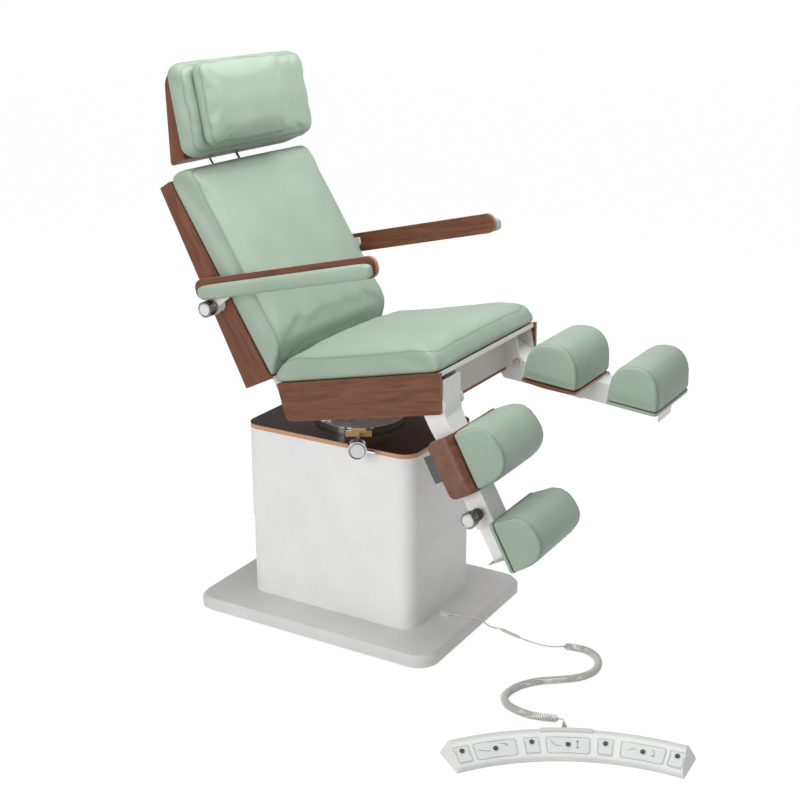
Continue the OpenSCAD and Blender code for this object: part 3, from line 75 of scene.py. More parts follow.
def makeCamera(setup):
    turn, rise = math.radians(setup["azimuth"]), math.radians(setup["elevation"])
    back = Vector((math.sin(turn) * math.cos(rise), -math.cos(turn) * math.cos(rise), math.sin(rise)))
    data = bpy.data.cameras.new("studioCamera")
    data.lens = setup["lens"]
    data.sensor_width = setup["sensor"]
    camera = bpy.data.objects.new("studioCamera", data)
    camera.location = setup["position"]
    camera.rotation_mode = "QUATERNION"
    camera.rotation_quaternion = (-back).to_track_quat("-Z", "Y")
    scene.collection.objects.link(camera)
    scene.camera = camera
    return camera


makeCamera(cameraSetup)


# Shader node helpers and groups

def joinNodes(tree, start, end):
    tree.links.new(start, end)


def addNode(tree, kind, values=None, **settings):
    node = tree.nodes.new(kind)
    for name, value in settings.items():
        setattr(node, name, value)
    for name, value in (values or {}).items():
        node.inputs[name].default_value = value
    return node


def makeGroup(name, inputs, outputs):
    group = bpy.data.node_groups.new(name, "ShaderNodeTree")
    for label, kind, value in inputs:
        socket = group.interface.new_socket(name=label, in_out="INPUT", socket_type="NodeSocket" + kind)
        if value is not None:
            socket.default_value = value
    for label, kind in outputs:
        group.interface.new_socket(name=label, in_out="OUTPUT", socket_type="NodeSocket" + kind)
    return group, addNode(group, "NodeGroupInput"), addNode(group, "NodeGroupOutput")


def feed(tree, value, socket):
    # the value is a socket or a plain value
    if isinstance(value, bpy.types.NodeSocket):
        joinNodes(tree, value, socket)
    elif value is not None:
        socket.default_value = value


def mixColours(tree, first, second, share, blend="MIX"):
    mix = addNode(tree, "ShaderNodeMix", data_type="RGBA", blend_type=blend)
    for index, value in ((6, first), (7, second), (0, share)):
        feed(tree, value, mix.inputs[index])
    return mix.outputs[2]


def spread(tree, value, low, high, fromLow=0.0, fromHigh=1.0):
    node = addNode(tree, "ShaderNodeMapRange", {"From Min": fromLow, "From Max": fromHigh,
                                                "To Min": low, "To Max": high})
    joinNodes(tree, value, node.inputs["Value"])
    return node.outputs["Result"]


def calculate(tree, operation, first, second=None):
    node = addNode(tree, "ShaderNodeMath", operation=operation)
    feed(tree, first, node.inputs[0])
    feed(tree, second, node.inputs[1])
    return node.outputs[0]


def scaledBy(tree, vector, size):
    # the vector, in units of a size in millimetres
    node = addNode(tree, "ShaderNodeVectorMath", operation="SCALE")
    joinNodes(tree, vector, node.inputs[0])
    joinNodes(tree, calculate(tree, "DIVIDE", 1000.0, size), node.inputs["Scale"])
    return node.outputs[0]


def stretched(tree, vector, ratios):
    node = addNode(tree, "ShaderNodeVectorMath", operation="MULTIPLY")
    joinNodes(tree, vector, node.inputs[0])
    feed(tree, ratios, node.inputs[1])
    return node.outputs[0]


def noiseAt(tree, vector, scale, detail, roughness, distortion=0.0):
    noise = addNode(tree, "ShaderNodeTexNoise", {"Scale": scale, "Detail": detail, "Roughness": roughness,
                                                 "Distortion": distortion})
    joinNodes(tree, vector, noise.inputs["Vector"])
    return noise.outputs["Fac"]


def leatherGrain():
    # fine pebbled grain of coated upholstery cloth, and slow changes of tone
    group, start, end = makeGroup(
        "Vinyl Grain",
        [("Vector", "Vector", None), ("Grain Size", "Float", 1.3), ("Patch Size", "Float", 160.0)],
        [("Height", "Float"), ("Tone", "Float"), ("Crease", "Float")])
    fine = scaledBy(group, start.outputs["Vector"], start.outputs["Grain Size"])
    cells = addNode(group, "ShaderNodeTexVoronoi", {"Scale": 1.0, "Randomness": 0.9},
                    feature="DISTANCE_TO_EDGE")
    joinNodes(group, fine, cells.inputs["Vector"])
    pebble = spread(group, cells.outputs["Distance"], 0.0, 1.0, 0.0, 0.28)
    pores = spread(group, noiseAt(group, fine, 2.2, 3.0, 0.6), 0.6, 1.2)
    joinNodes(group, calculate(group, "MULTIPLY", pebble, pores), end.inputs["Height"])
    wide = scaledBy(group, start.outputs["Vector"], start.outputs["Patch Size"])
    joinNodes(group, noiseAt(group, wide, 1.0, 3.0, 0.55), end.inputs["Tone"])
    joinNodes(group, noiseAt(group, wide, 3.1, 4.0, 0.5, 0.8), end.inputs["Crease"])
    return group


def walnutFigure():
    # the grain runs along X of the vector that comes in
    group, start, end = makeGroup(
        "Walnut Figure",
        [("Vector", "Vector", None), ("Dark", "Color", srgb(72, 40, 26)),
         ("Middle", "Color", srgb(118, 72, 48)), ("Light", "Color", srgb(152, 100, 68)),
         ("Band Width", "Float", 26.0)],
        [("Color", "Color"), ("Height", "Float")])
    along = scaledBy(group, stretched(group, start.outputs["Vector"], (0.11, 1.0, 1.0)),
                     start.outputs["Band Width"])
    ramp = spread(group, noiseAt(group, along, 1.0, 6.0, 0.62, 0.9), 0.0, 1.0, 0.28, 0.7)
    fibres = noiseAt(group, stretched(group, start.outputs["Vector"], (28.0, 900.0, 900.0)), 1.0, 4.0, 0.7)
    lower = mixColours(group, start.outputs["Dark"], start.outputs["Middle"],
                       spread(group, ramp, 0.0, 1.0, 0.0, 0.5))
    upper = mixColours(group, lower, start.outputs["Light"], spread(group, ramp, 0.0, 0.8, 0.5, 1.0))
    pores = spread(group, fibres, 0.72, 1.12, 0.3, 0.66)
    grey = addNode(group, "ShaderNodeCombineColor")
    for channel in ("Red", "Green", "Blue"):
        joinNodes(group, pores, grey.inputs[channel])
    joinNodes(group, mixColours(group, upper, grey.outputs[0], 1.0, "MULTIPLY"), end.inputs["Color"])
    joinNodes(group, fibres, end.inputs["Height"])
    return group


def softEdge():
    # rounded look of a machined or coated edge, and a mask of where the edge is
    group, start, end = makeGroup("Soft Edge", [("Radius", "Float", 0.0012)],
                                  [("Normal", "Vector"), ("Edge", "Float")])
    bevel = addNode(group, "ShaderNodeBevel", samples=8)
    joinNodes(group, start.outputs["Radius"], bevel.inputs["Radius"])
    geometry = addNode(group, "ShaderNodeNewGeometry")
    dot = addNode(group, "ShaderNodeVectorMath", operation="DOT_PRODUCT")
    joinNodes(group, bevel.outputs["Normal"], dot.inputs[0])
    joinNodes(group, geometry.outputs["Normal"], dot.inputs[1])
    joinNodes(group, bevel.outputs["Normal"], end.inputs["Normal"])
    joinNodes(group, spread(group, dot.outputs["Value"], 1.0, 0.0, 0.78, 0.995), end.inputs["Edge"])
    return group


def fineTexture():
    # orange peel of powder coat or moulded plastic, with faint smudges
    group, start, end = makeGroup("Coat Texture", [("Vector", "Vector", None), ("Peel Size", "Float", 2.2)],
                                  [("Height", "Float"), ("Smudge", "Float")])
    fine = scaledBy(group, start.outputs["Vector"], start.outputs["Peel Size"])
    joinNodes(group, noiseAt(group, fine, 1.0, 2.0, 0.4), end.inputs["Height"])
    joinNodes(group, noiseAt(group, start.outputs["Vector"], 7.0, 5.0, 0.6), end.inputs["Smudge"])
    return group


def brushedLines():
    group, start, end = makeGroup(
        "Brushed Lines", [("Vector", "Vector", None), ("Stretch", "Vector", (6, 900, 900))],
        [("Height", "Float")])
    lines = stretched(group, start.outputs["Vector"], start.outputs["Stretch"])
    joinNodes(group, noiseAt(group, lines, 1.0, 3.0, 0.6), end.inputs["Height"])
    return group


grainGroup = leatherGrain()
walnutGroup = walnutFigure()
edgeGroup = softEdge()
coatGroup = fineTexture()
brushGroup = brushedLines()
print("shader groups built")


def placeGroup(tree, group, links=None, **values):
    node = tree.nodes.new("ShaderNodeGroup")
    node.node_tree = group
    for name, value in values.items():
        node.inputs[name].default_value = value
    for name, socket in (links or {}).items():
        joinNodes(tree, socket, node.inputs[name])
    return node


def startMaterial(name, **constants):
    material = bpy.data.materials.new(name)
    material.use_nodes = True
    tree = material.node_tree
    tree.nodes.clear()
    output = tree.nodes.new("ShaderNodeOutputMaterial")
    shader = tree.nodes.new("ShaderNodeBsdfPrincipled")
    for label, value in constants.items():
        shader.inputs[label].default_value = value
    joinNodes(tree, shader.outputs[0], output.inputs[0])
    place = tree.nodes.new("ShaderNodeTexCoord")
    return material, tree, shader, place.outputs["Object"]


def setBump(tree, shader, height, distance, normal=None, strength=1.0):
    bump = addNode(tree, "ShaderNodeBump", {"Strength": strength, "Distance": distance})
    joinNodes(tree, height, bump.inputs["Height"])
    if normal is not None:
        joinNodes(tree, normal, bump.inputs["Normal"])
    joinNodes(tree, bump.outputs[0], shader.inputs["Normal"])


def vinylMaterial(name, look):
    # the seam attribute is 1 on a seam and fades to 0 beside it; the colour darkens there as painted shade in
    # the seam's groove
    material, tree, shader, place = startMaterial(name, **{
        "Sheen Weight": look["sheen"], "Sheen Roughness": 0.4, "Specular IOR Level": 0.4})
    grain = placeGroup(tree, grainGroup, {"Vector": place}, **{"Grain Size": look["grainSize"]})
    toned = mixColours(tree, look["shade"], look["colour"],
                       spread(tree, grain.outputs["Tone"], 0, 1, 0.3, 0.7))
    seam = addNode(tree, "ShaderNodeAttribute", attribute_name="seam", attribute_type="GEOMETRY")
    # painted shade: the colour darkens towards the seam shade colour along each sewn groove
    wearAndSeamShade = mixColours(tree, toned, look["seamShadeColour"], calculate(tree, "MULTIPLY", seam.outputs["Fac"], 0.3))
    joinNodes(tree, wearAndSeamShade, shader.inputs["Base Color"])
    joinNodes(tree, spread(tree, grain.outputs["Height"], look["roughness"] + 0.08, look["roughness"]),
              shader.inputs["Roughness"])
    pucker = calculate(tree, "MULTIPLY", grain.outputs["Crease"],
                       spread(tree, seam.outputs["Fac"], 0.25, 1.2))
    height = calculate(tree, "ADD", calculate(tree, "MULTIPLY", grain.outputs["Height"], 0.1), pucker)
    setBump(tree, shader, height, look["bump"])
    return material


def walnutMaterial(name, look):
    # edgeShares are the shares of ply shown on faces that lie along edgeAxis and on faces square to it
    material, tree, shader, place = startMaterial(name, **{
        "Coat Weight": look["varnish"], "Coat Roughness": 0.25, "Specular IOR Level": 0.3})
    turned = addNode(tree, "ShaderNodeMapping", vector_type="POINT")
    turned.inputs["Rotation"].default_value = [math.radians(a) for a in look["turn"]]
    joinNodes(tree, place, turned.inputs["Vector"])
    figure = placeGroup(tree, walnutGroup, {"Vector": turned.outputs[0]}, **{
        "Dark": look["dark"], "Middle": look["middle"], "Light": look["light"],
        "Band Width": look["bandWidth"]})
    edge = placeGroup(tree, edgeGroup, Radius=look["edgeRadius"])
    colour = mixColours(tree, figure.outputs["Color"], look["wearAndSeamShade"],
                        calculate(tree, "MULTIPLY", edge.outputs["Edge"], look["wear"]))
    if look.get("edgeAxis"):
        facing = addNode(tree, "ShaderNodeTexCoord")
        dot = addNode(tree, "ShaderNodeVectorMath", operation="DOT_PRODUCT")
        joinNodes(tree, facing.outputs["Normal"], dot.inputs[0])
        dot.inputs[1].default_value = look["edgeAxis"]
        cut = spread(tree, calculate(tree, "ABSOLUTE", dot.outputs["Value"]),
                     *look["edgeShares"], 0.62, 0.72)
        plies = placeGroup(tree, brushGroup, {"Vector": turned.outputs[0]}, Stretch=(8, 420, 420))
        tan = mixColours(tree, look["plyDark"], look["ply"],
                         spread(tree, plies.outputs["Height"], 0, 1, 0.35, 0.6))
        colour = mixColours(tree, colour, tan, cut)
    joinNodes(tree, colour, shader.inputs["Base Color"])
    joinNodes(tree, spread(tree, figure.outputs["Height"], look["roughness"] - 0.06, look["roughness"] + 0.1),
              shader.inputs["Roughness"])
    setBump(tree, shader, figure.outputs["Height"], 0.00012, edge.outputs["Normal"])
    return material


def coatMaterial(name, look):
    material, tree, shader, place = startMaterial(name, **{
        "Specular IOR Level": look.get("specular", 0.5), "Coat Weight": look.get("coat", 0.0),
        "Coat Roughness": 0.15})
    coat = placeGroup(tree, coatGroup, {"Vector": place}, **{"Peel Size": look["peelSize"]})
    edge = placeGroup(tree, edgeGroup, Radius=look["edgeRadius"])
    toned = mixColours(tree, look["shade"], look["colour"],
                       spread(tree, coat.outputs["Smudge"], 0, 1, 0.3, 0.65))
    wearAndSeamShade = mixColours(tree, toned, look["wearAndSeamShade"],
                      calculate(tree, "MULTIPLY", edge.outputs["Edge"], look["wear"]))
    joinNodes(tree, wearAndSeamShade, shader.inputs["Base Color"])
    joinNodes(tree, spread(tree, coat.outputs["Smudge"], look["roughness"] - 0.04, look["roughness"] + 0.06,
                           0.3, 0.7), shader.inputs["Roughness"])
    setBump(tree, shader, coat.outputs["Height"], look["bump"], edge.outputs["Normal"])
    return material


def metalMaterial(name, look):
    material, tree, shader, place = startMaterial(name, Metallic=1.0)
    lines = placeGroup(tree, brushGroup, {"Vector": place}, Stretch=look["stretch"])
    edge = placeGroup(tree, edgeGroup, Radius=look["edgeRadius"])
    colour = mixColours(tree, look["shade"], look["colour"], lines.outputs["Height"])
    bright = mixColours(tree, colour, look["wearAndSeamShade"], calculate(tree, "MULTIPLY", edge.outputs["Edge"], 0.5))
    joinNodes(tree, bright, shader.inputs["Base Color"])
    joinNodes(tree, spread(tree, lines.outputs["Height"], look["roughness"], look["roughness"] + 0.12,
                           0.3, 0.7), shader.inputs["Roughness"])
    setBump(tree, shader, lines.outputs["Height"], look["bump"], edge.outputs["Normal"])
    return material


vinylLook = {
    "colour": srgb(160, 177, 161),
    "shade": srgb(151, 168, 152),
    # the colour of the painted shade along the seams
    "seamShadeColour": srgb(108, 123, 109),
    "grainSize": 1.3,
    "roughness": 0.44,
    "sheen": 0.1,
    "bump": 0.0010,
}
walnutLook = {
    "dark": srgb(88, 48, 31),
    "middle": srgb(112, 67, 43),
    "light": srgb(132, 84, 57),
    "wearAndSeamShade": srgb(160, 110, 80),
    "wear": 0.3,
    "ply": srgb(190, 138, 106),
    "plyDark": srgb(158, 106, 78),
    "bandWidth": 16.0,
    "edgeRadius": 1.2 * mm,
    "varnish": 0.12,
    "roughness": 0.46,
    "turn": (0, 0, 0),
}


def tones(colour, shade, wearAndSeamShade):
    return {"colour": srgb(*colour), "shade": srgb(*shade), "wearAndSeamShade": srgb(*wearAndSeamShade)}


def walnutVariant(name, **changes):
    return walnutMaterial(name, {**walnutLook, **changes})


whiteLook = {
    **tones((238, 238, 236), (230, 230, 228), (246, 246, 245)), "wear": 0.3,
    "peelSize": 2.4, "roughness": 0.36, "bump": 0.00004, "edgeRadius": 1.4 * mm,
}
seatTurn, backTurn, headTurn, armTurn = 12.2, 32.1, 10.6, 13.1
legTurn = {"right": 61.5, "left": 5.5}
across = (1, 0, 0)
materials = {
    "vinyl": vinylMaterial("sageVinyl", vinylLook),
    "walnutSeat": walnutVariant("walnutAlongSeat", turn=(seatTurn, 0, 90), edgeAxis=across,
                                edgeShares=(0.45, 0.0)),
    "walnutBack": walnutVariant("walnutAlongBack", turn=(90 + backTurn, 0, 90), edgeAxis=across,
                                edgeShares=(0.4, 0.0)),
    "walnutHead": walnutVariant("walnutUpHead", turn=(90 + headTurn, 0, 90), bandWidth=20.0),
    "walnutArm": walnutVariant("walnutAlongArm", turn=(armTurn, 0, 90), edgeAxis=across,
                               edgeShares=(1.0, 0.0)),
    "walnutTop": walnutVariant("walnutTopPlate", turn=(0, 0, 90), dark=srgb(40, 22, 15),
                               middle=srgb(62, 37, 27), light=srgb(82, 52, 40), edgeAxis=(0, 0, 1),
                               edgeShares=(1.0, 0.0), ply=srgb(206, 160, 126), plyDark=srgb(184, 132, 98)),
    # the seam thread is real, and its darker colour is partly painted shade of the seam groove
    "thread": vinylMaterial("sageThreadWithSeamShade", {
        **vinylLook, "colour": srgb(128, 143, 129), "shade": srgb(119, 134, 120), "bump": 0.0002}),
    "white": coatMaterial("whitePowderCoat", whiteLook),
    "whitePlastic": coatMaterial("whiteMouldedPlastic", {
        **whiteLook, "colour": srgb(222, 224, 222), "shade": srgb(213, 216, 214), "roughness": 0.3,
        "peelSize": 0.9, "bump": 0.00003, "coat": 0.15}),
    "darkPlastic": coatMaterial("darkMouldedPlastic", {
        **tones((82, 84, 84), (70, 72, 72), (120, 120, 120)), "wear": 0.4,
        "peelSize": 0.8, "roughness": 0.5, "bump": 0.00004, "edgeRadius": 0.8 * mm}),
    "cordVinyl": coatMaterial("paleCordJacket", {
        **tones((218, 215, 209), (208, 205, 199), (228, 225, 220)), "wear": 0.0,
        "peelSize": 0.7, "roughness": 0.45, "bump": 0.00002, "edgeRadius": 0.3 * mm}),
    "reliefGrey": coatMaterial("greyReliefRubber", {
        **tones((176, 174, 170), (160, 158, 155), (190, 188, 184)), "wear": 0.3,
        "peelSize": 0.7, "roughness": 0.55, "bump": 0.00003, "edgeRadius": 0.5 * mm}),
    "blackRubber": coatMaterial("blackFootRubber", {
        **tones((44, 44, 45), (36, 36, 37), (70, 70, 70)), "wear": 0.3,
        "peelSize": 0.8, "roughness": 0.7, "bump": 0.00006, "edgeRadius": 0.8 * mm}),
    "saddle": coatMaterial("paleSaddleWood", {
        **tones((226, 200, 160), (208, 178, 136), (236, 214, 178)), "wear": 0.4,
        "peelSize": 1.6, "roughness": 0.5, "bump": 0.00005, "edgeRadius": 0.8 * mm}),
    "chrome": metalMaterial("polishedChrome", {
        **tones((226, 226, 228), (214, 214, 217), (240, 240, 242)),
        "roughness": 0.1, "stretch": (60, 60, 60), "bump": 0.000006, "edgeRadius": 0.7 * mm}),
    "steel": metalMaterial("brushedSteel", {
        **tones((200, 199, 197), (176, 175, 173), (226, 226, 226)),
        "roughness": 0.26, "stretch": (900, 20, 900), "bump": 0.00002, "edgeRadius": 0.8 * mm}),
    # painted shade: the floor plate's white is the cover's paint drawn darker, standing in for the shade under
    # the chair
    "plateWhitePaintedShade": coatMaterial("platePowderCoatPaintedShade", {
        **whiteLook, **tones((222, 222, 220), (212, 212, 210), (232, 232, 230))}),
    # painted shade: the seat frame's white is drawn darker and pinker, standing in for shade and the walnut's
    # reflected tint
    "frameWhitePaintedShade": coatMaterial("framePowderCoatPaintedShade", {
        **whiteLook, "colour": srgb(232, 226, 223), "shade": srgb(223, 217, 214)}),
    # painted reflection: the chrome turntable is a pale coat, its light colour standing in for the bright
    # surroundings it reflects under the seat
    "discPaintedReflection": coatMaterial("discPaintedChromeReflection", {
        **tones((236, 230, 225), (224, 218, 212), (244, 242, 240)), "wear": 0.6,
        "peelSize": 1.2, "roughness": 0.28, "bump": 0.00003, "edgeRadius": 1.0 * mm, "coat": 0.4}),
    "panelGrey": coatMaterial("paleKeyPanel", {
        **whiteLook, **tones((216, 221, 219), (208, 213, 211), (224, 228, 226)),
        "peelSize": 0.8, "roughness": 0.35, "edgeRadius": 0.4 * mm}),
    "panelLine": coatMaterial("greyPanelLine", {
        **tones((176, 180, 180), (166, 170, 170), (186, 189, 189)), "wear": 0.2,
        "peelSize": 0.8, "roughness": 0.5, "bump": 0.00002, "edgeRadius": 0.3 * mm}),
    "panelInk": coatMaterial("darkPanelMark", {
        **tones((92, 96, 97), (78, 82, 83), (100, 104, 105)), "wear": 0.2,
        "peelSize": 0.8, "roughness": 0.5, "bump": 0.00002, "edgeRadius": 0.3 * mm}),
    "knobWhite": coatMaterial("paleKnobCap", {
        **whiteLook, "colour": srgb(226, 225, 223), "shade": srgb(214, 213, 211), "roughness": 0.3,
        "coat": 0.2}),
    # painted reflection: the brass clamp is a pale coat, its cream colour standing in for the bright
    # surroundings the metal reflects
    "brass": coatMaterial("paleBrassPaintedReflection", {
        **tones((224, 188, 136), (206, 168, 114), (242, 218, 176)), "wear": 0.6,
        "peelSize": 1.4, "roughness": 0.26, "bump": 0.00002, "edgeRadius": 0.9 * mm, "coat": 0.5}),
    "knobSteel": metalMaterial("darkKnobSteel", {
        **tones((156, 154, 152), (140, 138, 136), (226, 226, 228)),
        "roughness": 0.14, "stretch": (60, 60, 60), "bump": 0.000006, "edgeRadius": 0.7 * mm}),
}
for side in legTurn:
    materials["walnutCalf" + side] = walnutVariant(
        "walnutCalf" + side.capitalize(), turn=(0, 0, 0), bandWidth=30.0, varnish=0.6, roughness=0.36,
        edgeAxis=(0, -math.cos(math.radians(legTurn[side])), -math.sin(math.radians(legTurn[side]))),
        edgeShares=(0.0, 1.0))
print("materials built:", len(materials))


def dress(node, *names):
    piece = nodes[node]
    piece.data.materials.clear()
    for name in names:
        piece.data.materials.append(materials[name])


def dressByPlace(node, names, choose):
    # choose gives the index of a finish from a face's middle
    dress(node, *names)
    for face in nodes[node].data.polygons:
        face.material_index = choose(face.center)


finishes = {
    "plateWhitePaintedShade": ["floor_plate"],
    "white": ["lower_cover", "upper_cover", "back_frame", "arm_link_right",
              "arm_link_left"],
    "frameWhitePaintedShade": ["seat_frame"],
    "steel": ["column_outer", "column_mid", "column_inner", "hinge_pins", "tilt_rod", "back_rod"],
    "discPaintedReflection": ["turntable"],
    "chrome": ["swivel_base", "clamp_band", "head_rods"],
    "knobSteel": ["arm_knob_right", "arm_knob_left"],
    "darkPlastic": ["lift_drive", "spindle_drives"] + ["pedal_button_%d" % i for i in range(1, 8)],
    "blackRubber": ["levelling_feet"],
    "whitePlastic": ["pedal_housing"],
    "walnutSeat": ["seat_panels"],
    "walnutBack": ["back_panels"],
    "walnutHead": ["head_shell"],
    "walnutArm": ["arm_shell_right", "arm_shell_left"],
    "walnutTop": ["top_plate"],
    "walnutCalfright": ["calf_shell_right"],
    "walnutCalfleft": ["calf_shell_left"],
    "cordVinyl": ["cord_connector"],
}
for finish, names in finishes.items():
    for name in names:
        dress(name, finish)


# Where each part of the chair sits, as the CAD has it

def place(origin, turn):
    return Matrix.Translation(Vector(origin) * mm) @ Matrix.Rotation(math.radians(turn), 4, "X")


seatPlace = place((0, 0, 792), -seatTurn)
backPlace = place((0, 110, 752), -backTurn)
headPlace = place((0, 396, 1378), -headTurn)
armPlace = place((0, 279.0, 978.9), -armTurn)
legPlace = {side: place((0, -428, 790.5), turn) for side, turn in legTurn.items()}


def legRun(point, side):
    # distance along the leg, height over its upper face and distance from the chair's middle, in millimetres
    local = legPlace[side].inverted() @ point / mm
    return -local.y, local.z, abs(local.x)


# where one finish ends and the next begins, in millimetres: out from the chair's middle, along the leg,
# over the leg's upper face, up from the floor or out from the column's axis
finishSplits = {
    "calfClampOut": 279,
    "calfClampOver": -50,
    "footBoardOver": 0.9,
    "footBoardOut": 400,
    "endPlateAlong": 431,
    "legNeckOut": (280, 321),
    "saddleUp": 607.5,
    "clampNeckOut": (257, 263),
    "housingReliefY": -500,
}


def dressLeg(side):
    splits = finishSplits
    neckIn, neckOut = splits["legNeckOut"]

    def beam(centre):
        rise, out = legRun(centre, side)[1:]
        return 1 if out > splits["calfClampOut"] and rise < splits["calfClampOver"] else 0

    def slide(centre):
        run, rise, out = legRun(centre, side)
        if rise > splits["footBoardOver"] and out < splits["footBoardOut"]:
            return 2
        return 1 if run > splits["endPlateAlong"] else 0

    def knob(centre):
        out = legRun(centre, side)[2]
        return 0 if out > neckOut or out < neckIn else 1

    dressByPlace("leg_beam_" + side, ["white", "darkPlastic"], beam)
    dressByPlace("leg_slide_" + side, ["white", "steel", "vinyl"], slide)
    dressByPlace("leg_knob_" + side, ["knobSteel", "darkPlastic"], knob)


def onSaddle(centre):
    return int(centre.z > finishSplits["saddleUp"] * mm)


def onClampNeck(centre):
    neckIn, neckOut = finishSplits["clampNeckOut"]
    return int(neckIn < Vector((centre.x, centre.y)).length / mm < neckOut)


def onHousingRelief(centre):
    return int(centre.y < finishSplits["housingReliefY"] * mm)


for side in legTurn:
    dressLeg(side)
dressByPlace("clamp_block", ["brass", "saddle"], onSaddle)
dressByPlace("clamp_screw", ["chrome", "darkPlastic"], onClampNeck)
dressByPlace("strain_reliefs", ["whitePlastic", "reliefGrey"], onHousingRelief)
print("frame dressed")


# Cords: the lead from the gland to its connector, then the curly cord to the foot control

cordSetup = {
    "diameter": 4.0,
    "leadRoute": [
        (-38, -340, 45), (-37, -344, 45), (-34, -356, 43.6), (-29, -374, 42.4), (-23, -394, 42.4),
        (-19, -408, 42.6), (-13, -420, 39), (-5, -432, 28), (3, -444, 16), (12, -455, 8), (20, -466, 5),
        (21, -474, 4.7), (20, -478, 4.7)],
    "curlyRoute": [
        (2, -548, 4.7), (1, -552, 4.7), (-1, -566, 3.6), (-2, -590, 2.3), (-3, -616, 2.3), (-3, -642, 3.6),
        (-1, -666, 8), (4, -687, 11.5), (16, -716, 11.5), (18, -753, 11.5), (0, -789, 11.5), (-37, -814, 11.5),
        (-82, -820, 11.5), (-122, -806, 11.5), (-154, -780, 11.5), (-182, -746, 11.5), (-213, -708, 11.5),
        (-250, -680, 11.5), (-292, -664, 11.5), (-334, -664, 11.5), (-364, -686, 11.5), (-378, -720, 11.5),
        (-382, -756, 11.5), (-376, -792, 11.5), (-366, -824, 11.5), (-362, -838, 12.6), (-362, -848, 13.6),
        (-368.4, -853.3, 14), (-373.8, -856.2, 14), (-377.3, -858, 14)],
    "curlsFrom": 7,
    "curlsTo": 25,
    "curlRadius": 9.0,
    "curls": 118,
    "pointsPerCurl": 14,
    "endTurns": 1.5,
    "plainPoints": 3,
    "spacings": 1200,
}


def onRoute(route, u):
    # smooth curve through the points, the whole part of u counting them
    last = len(route) - 1
    i = min(int(u), last - 1)
    t = u - i
    a, b, c, d = (route[max(i - 1, 0)], route[i], route[i + 1], route[min(i + 2, last)])
    return (2 * b + (c - a) * t + (2 * a - 5 * b + 4 * c - d) * t ** 2 + (3 * b - a - 3 * c + d) * t ** 3) / 2


def routeHeading(route, u):
    last = len(route) - 1
    return (onRoute(route, min(u + 0.02, last)) - onRoute(route, max(u - 0.02, 0))).normalized()


def plainCord(route, perSpan):
    return [onRoute(route, i / perSpan) for i in range((len(route) - 1) * perSpan + 1)]


def curlyCord(setup):
    route = inMetres(setup["curlyRoute"])
    first, last = setup["curlsFrom"], setup["curlsTo"]
    plain, spacings = setup["plainPoints"], setup["spacings"]
    # the curls are spaced by length, so that they lie evenly where the route's points don't
    fine = [first + (last - first) * i / spacings for i in range(spacings + 1)]
    places = [onRoute(route, u) for u in fine]
    lengths = np.concatenate([[0], np.cumsum([(b - a).length for a, b in zip(places, places[1:])])])
    steps = setup["curls"] * setup["pointsPerCurl"]
    coiled = np.interp(np.linspace(0, lengths[-1], steps + 1), lengths, fine)
    points = [onRoute(route, i / plain) for i in range(first * plain)]
    for step, u in enumerate(coiled):
        heading = routeHeading(route, u)
        side = Vector((0, 0, 1)).cross(heading).normalized()
        up = heading.cross(side)
        turns = step / setup["pointsPerCurl"]
        angle = math.radians(360 * turns - 90)
        share = min(1, turns / setup["endTurns"], (setup["curls"] - turns) / setup["endTurns"])
        radius = setup["curlRadius"] * mm * max(share, 0)
        points.append(onRoute(route, u) + radius * (math.cos(angle) * side + math.sin(angle) * up))
    points += [onRoute(route, last + i / plain) for i in range(1, (len(route) - 1 - last) * plain + 1)]
    return points


def cordCurve(name, points, diameter, material):
    data = bpy.data.curves.new(name, "CURVE")
    data.dimensions = "3D"
    spline = data.splines.new("POLY")
    spline.points.add(len(points) - 1)
    for target, point in zip(spline.points, points):
        target.co = (*point, 1)
    data.bevel_depth = diameter / 2
    data.bevel_resolution = 3
    data.use_fill_caps = True
    piece = bpy.data.objects.new(name, data)
    scene.collection.objects.link(piece)
    data.materials.append(material)
    return piece


def cordLength(points):
    return sum((b - a).length for a, b in zip(points, points[1:]))


def makeCords(setup):
    diameter = setup["diameter"] * mm
    leadPoints = plainCord(inMetres(setup["leadRoute"]), 4)
    lead = cordCurve("plainLead", leadPoints, diameter, materials["cordVinyl"])
    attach(lead, "base")
    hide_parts("cord_lead")
    curlyPoints = curlyCord(setup)
    curly = cordCurve("curlyCordWire", curlyPoints, diameter, materials["cordVinyl"])
    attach(curly, "base")
    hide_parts("curly_cord")
    print("cords laid: lead", round(cordLength(leadPoints), 3), "m, curly cord",
          round(cordLength(curlyPoints), 3), "m of wire")


makeCords(cordSetup)


# Cushions: each starts as its CAD solid, is remeshed square to its own faces, and swells as cloth

def meshInPlace(node, matrix):
    mesh = nodes[node].data.copy()
    mesh.transform(matrix.inverted())
    mesh.materials.clear()
    return mesh


def applied(piece):
    # the piece's mesh with its modifiers applied
    graph = bpy.context.evaluated_depsgraph_get()
    mesh = bpy.data.meshes.new_from_object(piece.evaluated_get(graph))
    piece.modifiers.clear()
    old = piece.data
    piece.data = mesh
    bpy.data.meshes.remove(old)


def points(piece):
    flat = np.zeros(len(piece.data.vertices) * 3)
    piece.data.vertices.foreach_get("co", flat)
    return flat.reshape(-1, 3)


def setPoints(piece, values):
    piece.data.vertices.foreach_set("co", np.asarray(values, float).ravel())
    piece.data.update()


def startCushion(name, node, matrix, setup):
    piece = bpy.data.objects.new(name, meshInPlace(node, matrix))
    piece.matrix_world = matrix
    scene.collection.objects.link(piece)
    remesh = piece.modifiers.new("even", "REMESH")
    remesh.mode = "VOXEL"
    remesh.voxel_size = setup["voxel"] * mm
    remesh.use_smooth_shade = True
    smooth = piece.modifiers.new("smooth", "SMOOTH")
    smooth.factor = 0.5
    smooth.iterations = setup["smoothing"]
    applied(piece)
    return piece


